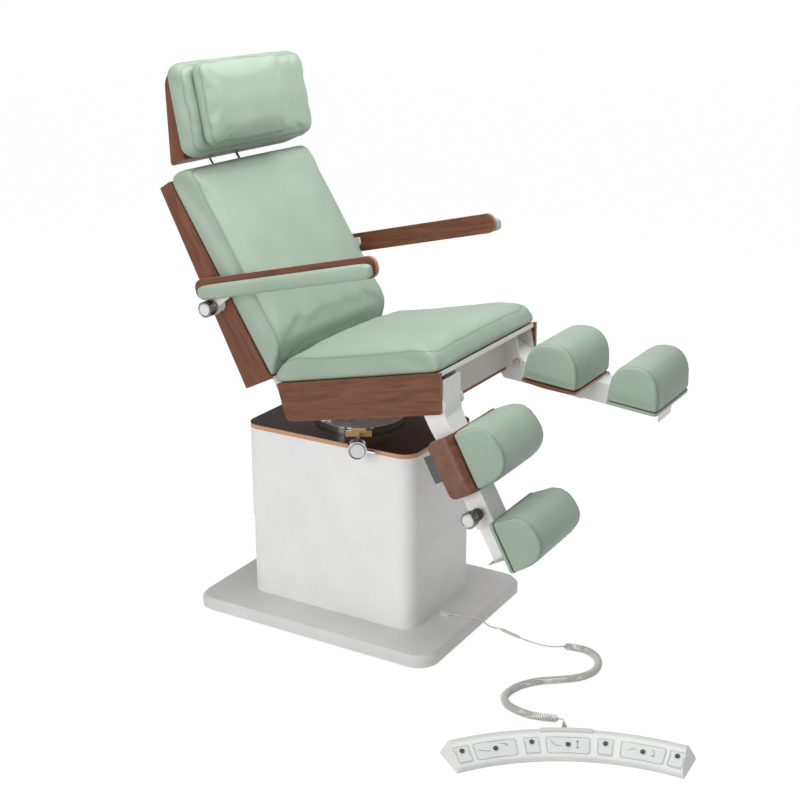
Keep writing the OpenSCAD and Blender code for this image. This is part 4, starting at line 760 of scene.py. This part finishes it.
def seatedShare(piece, setup):
    # 1 where the cover is tacked down: along the flat side that rests on the board
    spots = points(piece)
    axis, low = setup["restAxis"], setup["restAt"] * mm
    return np.clip(1 - np.abs(spots[:, axis] - low) / (setup["restBand"] * mm), 0, 1)


coverCloth = {
    "quality": 4,
    "mass": 0.35,
    "tension_stiffness": 30,
    "compression_stiffness": 30,
    "shear_stiffness": 12,
    "bending_stiffness": 4,
    "tension_damping": 8,
}
clothFrames = 20


def addCloth(piece, setup):
    group = piece.vertex_groups.new(name="tacked")
    for index, share in enumerate(seatedShare(piece, setup)):
        group.add([index], float(share), "REPLACE")
    cloth = piece.modifiers.new("cover", "CLOTH")
    for label, value in coverCloth.items():
        setattr(cloth.settings, label, value)
    cloth.settings.use_pressure = True
    cloth.settings.uniform_pressure_force = setup["pressure"]
    cloth.settings.effector_weights.gravity = 0
    cloth.settings.vertex_group_mass = "tacked"
    cloth.collision_settings.use_collision = False
    cloth.collision_settings.use_self_collision = False


def settle(piece, rest, setup):
    # the cover may move only as far as the stuffing lets it, and never into what it rests on
    moved = points(piece) - rest
    far = np.linalg.norm(moved, axis=1, keepdims=True)
    cap = setup["cap"] * mm
    spots = rest + moved * np.minimum(1, cap / np.maximum(far, 1e-9))
    for axis, (low, high) in enumerate(setup["limits"]):
        spots[:, axis] = np.clip(spots[:, axis], low * mm, high * mm)
    setPoints(piece, spots)


def ironFolds(piece, rounds):
    # firm foam holds the cover nearly smooth, so only the widest folds stay
    smooth = piece.modifiers.new("ironed", "SMOOTH")
    smooth.factor = 0.5
    smooth.iterations = rounds
    applied(piece)


cushionLook = {"voxel": 7.0, "smoothing": 2, "pressure": 3.0, "cap": 6.0, "restBand": 14.0, "ironing": 8}


def nodeLimits(node, matrix, swell):
    spots = np.array([matrix.inverted() @ v.co for v in nodes[node].data.vertices]) / mm
    low, high = spots.min(0), spots.max(0)
    return [(low[i] - swell[i][0], high[i] + swell[i][1]) for i in range(3)]


def cushionSetup(node, matrix, restAxis, restHigh, swell, **changes):
    limits = nodeLimits(node, matrix, swell)
    low, high = limits[restAxis]
    restAt = high - swell[restAxis][1] if restHigh else low + swell[restAxis][0]
    return {**cushionLook, "node": node, "matrix": matrix, "restAxis": restAxis, "restAt": restAt,
            "limits": limits, **changes}


cushions = {
    "seatCushion": cushionSetup("seat_cushion", seatPlace, 2, False, ((3, 3), (4, 4), (0, 9)), body="seat"),
    "backCushion": cushionSetup("back_cushion", backPlace, 1, True, ((3, 3), (9, 0), (5, 4)), body="back"),
    "headCushion": cushionSetup("head_cushion", headPlace, 1, True, ((3, 3), (6, 0), (4, 4)), body="head",
                                voxel=6.0),
    "headPillow": cushionSetup("pillow", headPlace, 1, True, ((6, 6), (10, 0), (4, 4)), body="head",
                               voxel=5.5, cap=9.0, pressure=4.0, ironing=12),
}
for side, sign in (("right", -1), ("left", 1)):
    inner = ((0, 4), (3, 3), (3, 3)) if sign > 0 else ((4, 0), (3, 3), (3, 3))
    cushions["armPad" + side.capitalize()] = cushionSetup(
        "arm_pad_" + side, armPlace, 0, sign < 0, inner, body="arm_" + side, voxel=4.0, cap=4.0, smoothing=2,
        restBand=6.0, ironing=2)
    cushions["calfPad" + side.capitalize()] = cushionSetup(
        "calf_pad_" + side, legPlace[side], 2, False, ((2, 2), (3, 3), (0, 4)), body="leg_" + side, voxel=5.0,
        cap=4.0, smoothing=1, ironing=2)
    cushions["footPad" + side.capitalize()] = cushionSetup(
        "foot_pad_" + side + "_leg", legPlace[side], 2, False, ((2, 2), (3, 3), (0, 4)), body="foot_" + side,
        voxel=5.0, cap=4.0, smoothing=1, ironing=2)

built = {name: startCushion(name, setup["node"], setup["matrix"], setup) for name, setup in cushions.items()}
rests = {name: points(piece) for name, piece in built.items()}
for name, piece in built.items():
    addCloth(piece, cushions[name])
for frameNumber in range(1, clothFrames + 1):
    scene.frame_set(frameNumber)
for piece in built.values():
    applied(piece)
scene.frame_set(1)
print("cushion covers settled")
for name, piece in built.items():
    settle(piece, rests[name], cushions[name])
    ironFolds(piece, cushions[name]["ironing"])


# Seams: a sewn line where a plane crosses the cover, drawn in a little, with its thread in the groove and
# painted shade along it

def planeLoop(piece, where, direction):
    # ordered points where a plane cuts the piece, in the piece's own space
    shape = bmesh.new()
    shape.from_mesh(piece.data)
    found = bmesh.ops.bisect_plane(shape, geom=shape.verts[:] + shape.edges[:] + shape.faces[:],
                                   plane_co=where, plane_no=direction)["geom_cut"]
    edges = [e for e in found if isinstance(e, bmesh.types.BMEdge)]
    beside = {}
    for edge in edges:
        for vert in edge.verts:
            beside.setdefault(vert, []).append(edge.other_vert(vert))
    loops, seen = [], set()
    for start in beside:
        if start in seen:
            continue
        line, here, last = [start], start, None
        seen.add(start)
        while True:
            onward = [v for v in beside[here] if v is not last and v not in seen]
            if not onward:
                break
            last, here = here, onward[0]
            seen.add(here)
            line.append(here)
        loops.append([v.co.copy() for v in line])
    shape.free()
    return max(loops, key=len) if loops else []


def evenly(line, step, closed=True):
    # points along a line at even steps
    spots = np.array(line + [line[0]] if closed else line)
    runs = np.concatenate([[0], np.cumsum(np.linalg.norm(np.diff(spots, axis=0), axis=1))])
    count = max(8, int(runs[-1] / step))
    ways = np.linspace(0, runs[-1], count, endpoint=not closed)
    return np.stack([np.interp(ways, runs, spots[:, i]) for i in range(3)], axis=1)


def smoothLine(line, rounds):
    for _ in range(rounds):
        line = (np.roll(line, 1, 0) + 2 * line + np.roll(line, -1, 0)) / 4
    return line


# shadeWidth is how wide the painted shade along each seam spreads
seamLook = {"groove": 1.3, "width": 5.0, "shadeWidth": 5.0, "thread": 0.55, "sides": 6, "step": 3.0,
            "smoothing": 4}


def surfaceTree(piece):
    shape = bmesh.new()
    shape.from_mesh(piece.data)
    tree = BVHTree.FromBMesh(shape)
    shape.free()
    return tree


def edgeLoop(piece, look):
    # the seam between a cover's face and its side band: a set drop below the face, all the way round
    spots = points(piece)
    low, high = spots.min(0), spots.max(0)
    middle, half = (low + high) / 2, (high - low) / 2
    up, sign = look["faces"]
    across = [axis for axis in range(3) if axis != up]
    tree, line = surfaceTree(piece), []
    for step in range(look["steps"]):
        angle = 2 * math.pi * step / look["steps"]
        turn = (math.cos(angle), math.sin(angle))
        reach = sum(abs(t) ** look["squareness"] for t in turn) ** (-1 / look["squareness"])
        inner, outer = Vector(middle), Vector(middle)
        for axis, part in zip(across, turn):
            inner[axis] += part * reach * (half[axis] - look["inset"] * mm)
            outer[axis] += part * reach * (half[axis] + look["inset"] * mm)
        above = inner.copy()
        above[up] = middle[up] + sign * (half[up] + look["inset"] * mm)
        down = Vector((0, 0, 0))
        down[up] = -sign
        face = tree.ray_cast(above, down)[0]
        if face is None:
            continue
        inner[up] = outer[up] = face[up] - sign * look["drop"] * mm
        edge = tree.ray_cast(outer, (inner - outer).normalized())[0]
        if edge is not None:
            line.append(edge)
    return line


def bandBetween(shape, first, second, material, smooth=False):
    # the faces between two closed rings of points
    count = len(first)
    for k in range(count):
        face = shape.faces.new((first[k], first[(k + 1) % count], second[(k + 1) % count], second[k]))
        face.material_index = material
        face.smooth = smooth


def threadMesh(shape, line, material):
    # a thin welt laid along a closed line
    sides, radius = seamLook["sides"], seamLook["thread"] * mm
    rings, side = [], None
    for index, spot in enumerate(line):
        ahead = (Vector(line[(index + 1) % len(line)]) - Vector(line[index - 1])).normalized()
        side = (ahead.orthogonal() if side is None else side - side.dot(ahead) * ahead).normalized()
        up = ahead.cross(side)
        rings.append([shape.verts.new(Vector(spot) + radius * (
            math.cos(2 * math.pi * k / sides) * side + math.sin(2 * math.pi * k / sides) * up))
            for k in range(sides)])
    for ring, onward in zip(rings, rings[1:]):
        bandBetween(shape, ring, onward, material, smooth=True)


def sewSeams(piece, seams):
    subdivide = piece.modifiers.new("finer", "SUBSURF")
    subdivide.levels = subdivide.render_levels = 1
    applied(piece)
    lines = []
    for seam in seams:
        line = edgeLoop(piece, seam) if "faces" in seam else planeLoop(
            piece, Vector(seam["at"]) * mm, Vector(seam["across"]))
        if line:
            lines.append(smoothLine(evenly(line, seamLook["step"] * mm), seamLook["smoothing"]))
    spots = points(piece)
    share = np.zeros(len(spots))
    if lines:
        tree = KDTree(sum(len(line) for line in lines))
        for index, spot in enumerate(np.concatenate(lines)):
            tree.insert(spot, index)
        tree.balance()
        gaps = np.array([tree.find(spot)[2] for spot in spots]) / mm
        normals = np.zeros(len(spots) * 3)
        piece.data.vertices.foreach_get("normal", normals)
        depth = seamLook["groove"] * mm * np.exp(-(gaps / seamLook["width"]) ** 2)
        setPoints(piece, spots - normals.reshape(-1, 3) * depth[:, None])
        # painted shade: the seam attribute the vinyl darkens by, fading out from each seam
        share = np.exp(-(gaps / seamLook["shadeWidth"]) ** 2)
    attribute = piece.data.attributes.new("seam", "FLOAT", "POINT")
    attribute.data.foreach_set("value", share.astype(np.float32))
    for face in piece.data.polygons:
        face.use_smooth = True
    piece.data.materials.clear()
    piece.data.materials.append(materials["vinyl"])
    piece.data.materials.append(materials["thread"])
    cover = surfaceTree(piece)
    shape = bmesh.new()
    shape.from_mesh(piece.data)
    for line in lines:
        laid = [cover.find_nearest(Vector(spot))[0] for spot in line]
        threadMesh(shape, laid + laid[:1], 1)
    shape.to_mesh(piece.data)
    shape.free()


edgeSeam = {"faces": (1, -1), "inset": 24, "drop": 9, "steps": 260, "squareness": 14}
seams = {
    "seatCushion": [{**edgeSeam, "faces": (2, 1)}],
    "backCushion": [edgeSeam],
    "headCushion": [edgeSeam],
    "headPillow": [{**edgeSeam, "drop": 16, "squareness": 8}],
}
for side, sign in (("Right", -1), ("Left", 1)):
    for pad, ends in (("calfPad", (56, 292)), ("footPad", (52, 298))):
        seams[pad + side] = [{"at": (sign * x, 0, 0), "across": (1, 0, 0)} for x in ends]

for name, piece in built.items():
    sewSeams(piece, seams.get(name, []))
    setup = cushions[name]
    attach(piece, setup["body"])
    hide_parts(setup["node"])
print("cushions sewn:", len(built))


# Key panels of the foot control: a frame, a pale face and a collar round each button

controlSetup = {
    "centre": (-1075, -1229),
    "first": 1.8,
    "span": 52.4,
    "placeShares": (0.945, 0.803, 0.647, 0.498, 0.345, 0.191, 0.052),
    "radius": 633,
    "buttonIn": (35, 43),
    "slopeLow": (7.0, 14.28),
    "slopeHigh": (60.0, 37.8),
    "halfWidths": (21, 57),
    "edgeIn": 4,
    "steps": 64,
    "squareness": 12,
}
# simple marks beside the buttons of the wide panels, in millimetres from the button
controlMarks = {
    2: [[(-46, 3), (-20, -5), (-14, -3)], [(14, 13), (24, 12), (33, 7)], [(29, 12), (33, 7), (27, 5)]],
    4: [[(-44, 14), (-32, -2), (-16, -4)], [(24, -11), (24, 12)], [(20, 7), (24, 12), (28, 7)],
        [(20, -6), (24, -11), (28, -6)]],
    6: [[(-36, -2), (-28, 5), (-18, 4)], [(20, 12), (27, 8), (29, 0), (26, -9)],
        [(30, -4), (26, -9), (21, -5)]],
}
# what a key panel is made of, from the button's hole to its edge: each ring's size, its lift in millimetres
# and the finish up to the next ring; a size over 1 is a radius in millimetres, and one up to 1 is a share
panelFinishes = ["whitePlastic", "panelGrey", "panelLine", "panelInk"]
panelRings = [(6.6, 0.0, 0), (6.6, 1.4, 0), (8.4, 1.4, 0), (8.4, 0.5, 1), (0.86, 0.5, 2), (0.87, 0.1, 2),
              (0.93, 0.1, 0), (0.95, 1.1, 0), (1.0, 0.9, 0), (1.0, -0.2, 0)]
markSetup = {"width": 1.3, "lift": 0.7, "finish": 3}


def slopeAt(setup, spot):
    # the slope's run and rise per millimetre, its length, and how far in and up it a button lies
    (inLow, zLow), (inHigh, zHigh) = setup["slopeLow"], setup["slopeHigh"]
    length = math.hypot(inHigh - inLow, zHigh - zLow)
    along = (inHigh - inLow) / length
    buttonIn = setup["buttonIn"][0 if spot % 2 == 0 else 1]
    return {"along": along, "rise": (zHigh - zLow) / length, "length": length, "buttonIn": buttonIn,
            "buttonUp": (buttonIn - inLow) / along}


def onSlope(setup, spot, u, v, lift):
    # u runs along the arc and v up the slope from a button, in millimetres; lift stands off the slope
    slope = slopeAt(setup, spot)
    (inLow, zLow), (centreX, centreY) = setup["slopeLow"], setup["centre"]
    way = slope["buttonUp"] + v
    radius = setup["radius"] + inLow + slope["along"] * way - slope["rise"] * lift
    height = zLow + slope["rise"] * way + slope["along"] * lift
    angle = math.radians(setup["first"] + setup["span"] * setup["placeShares"][spot - 1])
    angle += u / (setup["radius"] + slope["buttonIn"])
    return Vector((centreX + radius * math.cos(angle), centreY + radius * math.sin(angle), height)) * mm


def panelRing(setup, shape, spot, share, lift, circle=None):
    # a ring of points between the button's hole and the panel's edge
    slope = slopeAt(setup, spot)
    below = slope["buttonUp"] - setup["edgeIn"]
    above = slope["length"] - below - 2 * setup["edgeIn"]
    wide = setup["halfWidths"][1 if spot % 2 == 0 else 0]
    power = setup["squareness"]
    verts = []
    for step in range(setup["steps"]):
        angle = 2 * math.pi * step / setup["steps"]
        c, s = math.cos(angle), math.sin(angle)
        tall = above if s > 0 else below
        reach = (abs(c / wide) ** power + abs(s / tall) ** power) ** (-1 / power)
        out = circle if circle else reach - (1 - share) * tall
        verts.append(shape.verts.new(onSlope(setup, spot, out * c, out * s, lift)))
    return verts


def strokeMesh(setup, shape, spot, stroke, look):
    across = [(-u, v) for u, v in stroke]  # the arc's angle runs from the right end to the left one
    for (u0, v0), (u1, v1) in zip(across, across[1:]):
        half = look["width"] / 2 / math.hypot(u1 - u0, v1 - v0)
        du, dv = (v0 - v1) * half, (u1 - u0) * half
        corners = ((u0 - du, v0 - dv), (u1 - du, v1 - dv), (u1 + du, v1 + dv), (u0 + du, v0 + dv))
        top, base = [[shape.verts.new(onSlope(setup, spot, u, v, lift)) for u, v in corners]
                     for lift in (look["lift"], 0)]
        shape.faces.new(top).material_index = look["finish"]
        bandBetween(shape, base, top, look["finish"])


def addPiece(name, shape, finishNames):
    # turns a mesh under construction into an object
    bmesh.ops.recalc_face_normals(shape, faces=shape.faces)
    mesh = bpy.data.meshes.new(name)
    shape.to_mesh(mesh)
    shape.free()
    piece = bpy.data.objects.new(name, mesh)
    scene.collection.objects.link(piece)
    for finish in finishNames:
        mesh.materials.append(materials[finish])
    return piece


def makePanels(setup):
    for spot in range(1, 8):
        shape = bmesh.new()
        last = None
        for size, lift, material in panelRings:
            ring = panelRing(setup, shape, spot, size, lift, size if size > 1 else None)
            if last:
                bandBetween(shape, last[0], ring, last[1])
            last = (ring, material)
        for stroke in controlMarks.get(spot, []):
            strokeMesh(setup, shape, spot, stroke, markSetup)
        piece = addPiece("keyPanel%d" % spot, shape, panelFinishes)
        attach(piece, "base")


makePanels(controlSetup)
print("foot control dressed")


# Caps of the knobs: a pale domed face inside a raised steel rim

clampSetup = {"angle": 210.3, "height": 600.0, "radius": 27.5}
knobSetup = {"rimShare": 0.82, "rimWire": 2.4, "rimLiftShare": 0.8, "rimStep": 30, "dome": 0.9,
             "steps": 48, "rings": 5}
knobBodies = {"arm_knob_right": "arm_clamp_right", "arm_knob_left": "arm_clamp_left",
              "leg_knob_right": "leg_clamp_right", "leg_knob_left": "leg_clamp_left"}


def makeKnobCap(name, middle, outward, radius, body):
    shape = bmesh.new()
    outward = Vector(outward).normalized()
    side = outward.orthogonal().normalized()
    up = outward.cross(side)
    steps = knobSetup["steps"]

    def ring(size, lift):
        return [shape.verts.new(middle + size * (math.cos(2 * math.pi * k / steps) * side
                                                 + math.sin(2 * math.pi * k / steps) * up) + lift * outward)
                for k in range(steps)]

    wire, rim = knobSetup["rimWire"] * mm, radius * knobSetup["rimShare"]
    rings = []
    for turn in range(0, 181, knobSetup["rimStep"]):
        angle = math.radians(turn)
        rings.append(ring(rim + wire * math.cos(angle), wire * math.sin(angle) * knobSetup["rimLiftShare"]))
    rimRings = len(rings)
    for index in range(knobSetup["rings"]):
        share = 1 - (index + 1) / (knobSetup["rings"] + 1)
        rings.append(ring((rim - wire) * share, knobSetup["dome"] * mm * (1 - share ** 2)))
    for index, (inner, outer) in enumerate(zip(rings, rings[1:])):
        bandBetween(shape, inner, outer, 0 if index < rimRings - 1 else 1, smooth=True)
    middleFace = shape.faces.new(rings[-1])
    middleFace.material_index = 1
    middleFace.smooth = True
    cap = addPiece(name, shape, ("knobSteel", "knobWhite"))
    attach(cap, body)


def makeKnobCaps():
    for node, body in knobBodies.items():
        low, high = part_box(node)
        sign = -1 if node.endswith("right") else 1
        middle = (Vector(low) + Vector(high)) / 2
        middle.x = low[0] if sign < 0 else high[0]
        makeKnobCap(node.replace("_", "") + "Cap", middle, (sign, 0, 0), (high[2] - low[2]) / 2, body)


def makeClampCap():
    # the clamp's knob faces straight out from the column, at the far end of its screw
    spots = [v.co for v in nodes["clamp_screw"].data.vertices]
    angle = math.radians(clampSetup["angle"])
    outward = Vector((math.cos(angle), math.sin(angle), 0))
    reach = max(spot.dot(outward) for spot in spots)
    height = clampSetup["height"] * mm
    makeKnobCap("clampKnobCap", reach * outward + Vector((0, 0, height)), outward,
                clampSetup["radius"] * mm, "clamp")


makeKnobCaps()
makeClampCap()
print("knobs capped")


# Floor, world and lights

def cameraOr(tree, path, *rays):
    # 1 where the camera sees something itself or by one of the other rays
    seen = path.outputs["Is Camera Ray"]
    for ray in rays:
        seen = calculate(tree, "MAXIMUM", seen, path.outputs[ray])
    return seen


floorSetup = {"half": 40, "tone": 0.74, "seenTone": 0.2, "seenGlow": 0.9}


def makeFloor(setup):
    mesh = bpy.data.meshes.new("studioFloor")
    half = setup["half"]
    mesh.from_pydata([(-half, -half, 0), (half, -half, 0), (half, half, 0), (-half, half, 0)], [],
                     [(0, 1, 2, 3)])
    floor = bpy.data.objects.new("studioFloor", mesh)
    scene.collection.objects.link(floor)
    material = bpy.data.materials.new("paleStudioFloor")
    material.use_nodes = True
    tree = material.node_tree
    shader = tree.nodes["Principled BSDF"]
    shader.inputs["Roughness"].default_value = 0.9
    shader.inputs["Specular IOR Level"].default_value = 0.1
    path = tree.nodes.new("ShaderNodeLightPath")
    seen = cameraOr(tree, path, "Is Glossy Ray", "Is Transmission Ray")
    # seen straight or mirrored the floor is white and keeps a pale shadow; to the light it is a pale floor
    tone, seenTone = [(setup[label],) * 3 + (1,) for label in ("tone", "seenTone")]
    joinNodes(tree, mixColours(tree, tone, seenTone, seen), shader.inputs["Base Color"])
    joinNodes(tree, calculate(tree, "MULTIPLY", seen, setup["seenGlow"]), shader.inputs["Emission Strength"])
    shader.inputs["Emission Color"].default_value = (1, 1, 1, 1)
    mesh.materials.append(material)


def makeWorld(level):
    world = bpy.data.worlds.new("studioWorld")
    scene.world = world
    world.use_nodes = True
    tree = world.node_tree
    background = tree.nodes["Background"]
    background.inputs["Color"].default_value = (1, 1, 1, 1)
    path = tree.nodes.new("ShaderNodeLightPath")
    seen = cameraOr(tree, path, "Is Transmission Ray")
    joinNodes(tree, spread(tree, seen, level, 1.0), background.inputs["Strength"])


def addLamp(name, setup):
    data = bpy.data.lights.new(name, "AREA")
    data.shape = "RECTANGLE"
    data.size, data.size_y = setup["size"]
    data.energy = setup["power"]
    lamp = bpy.data.objects.new(name, data)
    lamp.location = setup["spot"]
    lamp.rotation_mode = "QUATERNION"
    lamp.rotation_quaternion = (Vector(setup["target"]) - Vector(setup["spot"])).to_track_quat("-Z", "Y")
    scene.collection.objects.link(lamp)


lampSetup = {
    "key": {"spot": (-3.8, 0.3, 1.5), "target": (0, 0, 0.6), "size": (2.4, 2.4), "power": 64},
    "overhead": {"spot": (0.0, -0.35, 2.45), "target": (0, -0.25, 0.7), "size": (1.5, 1.5), "power": 30},
    "front": {"spot": (-1.2, -4.6, 2.2), "target": (0, -0.2, 0.7), "size": (2.2, 2.2), "power": 5},
}
worldLevel = 0.42
makeFloor(floorSetup)
makeWorld(worldLevel)
for name, setup in lampSetup.items():
    addLamp(name + "Lamp", setup)
scene.view_settings.view_transform = "Standard"
print("studio lit")
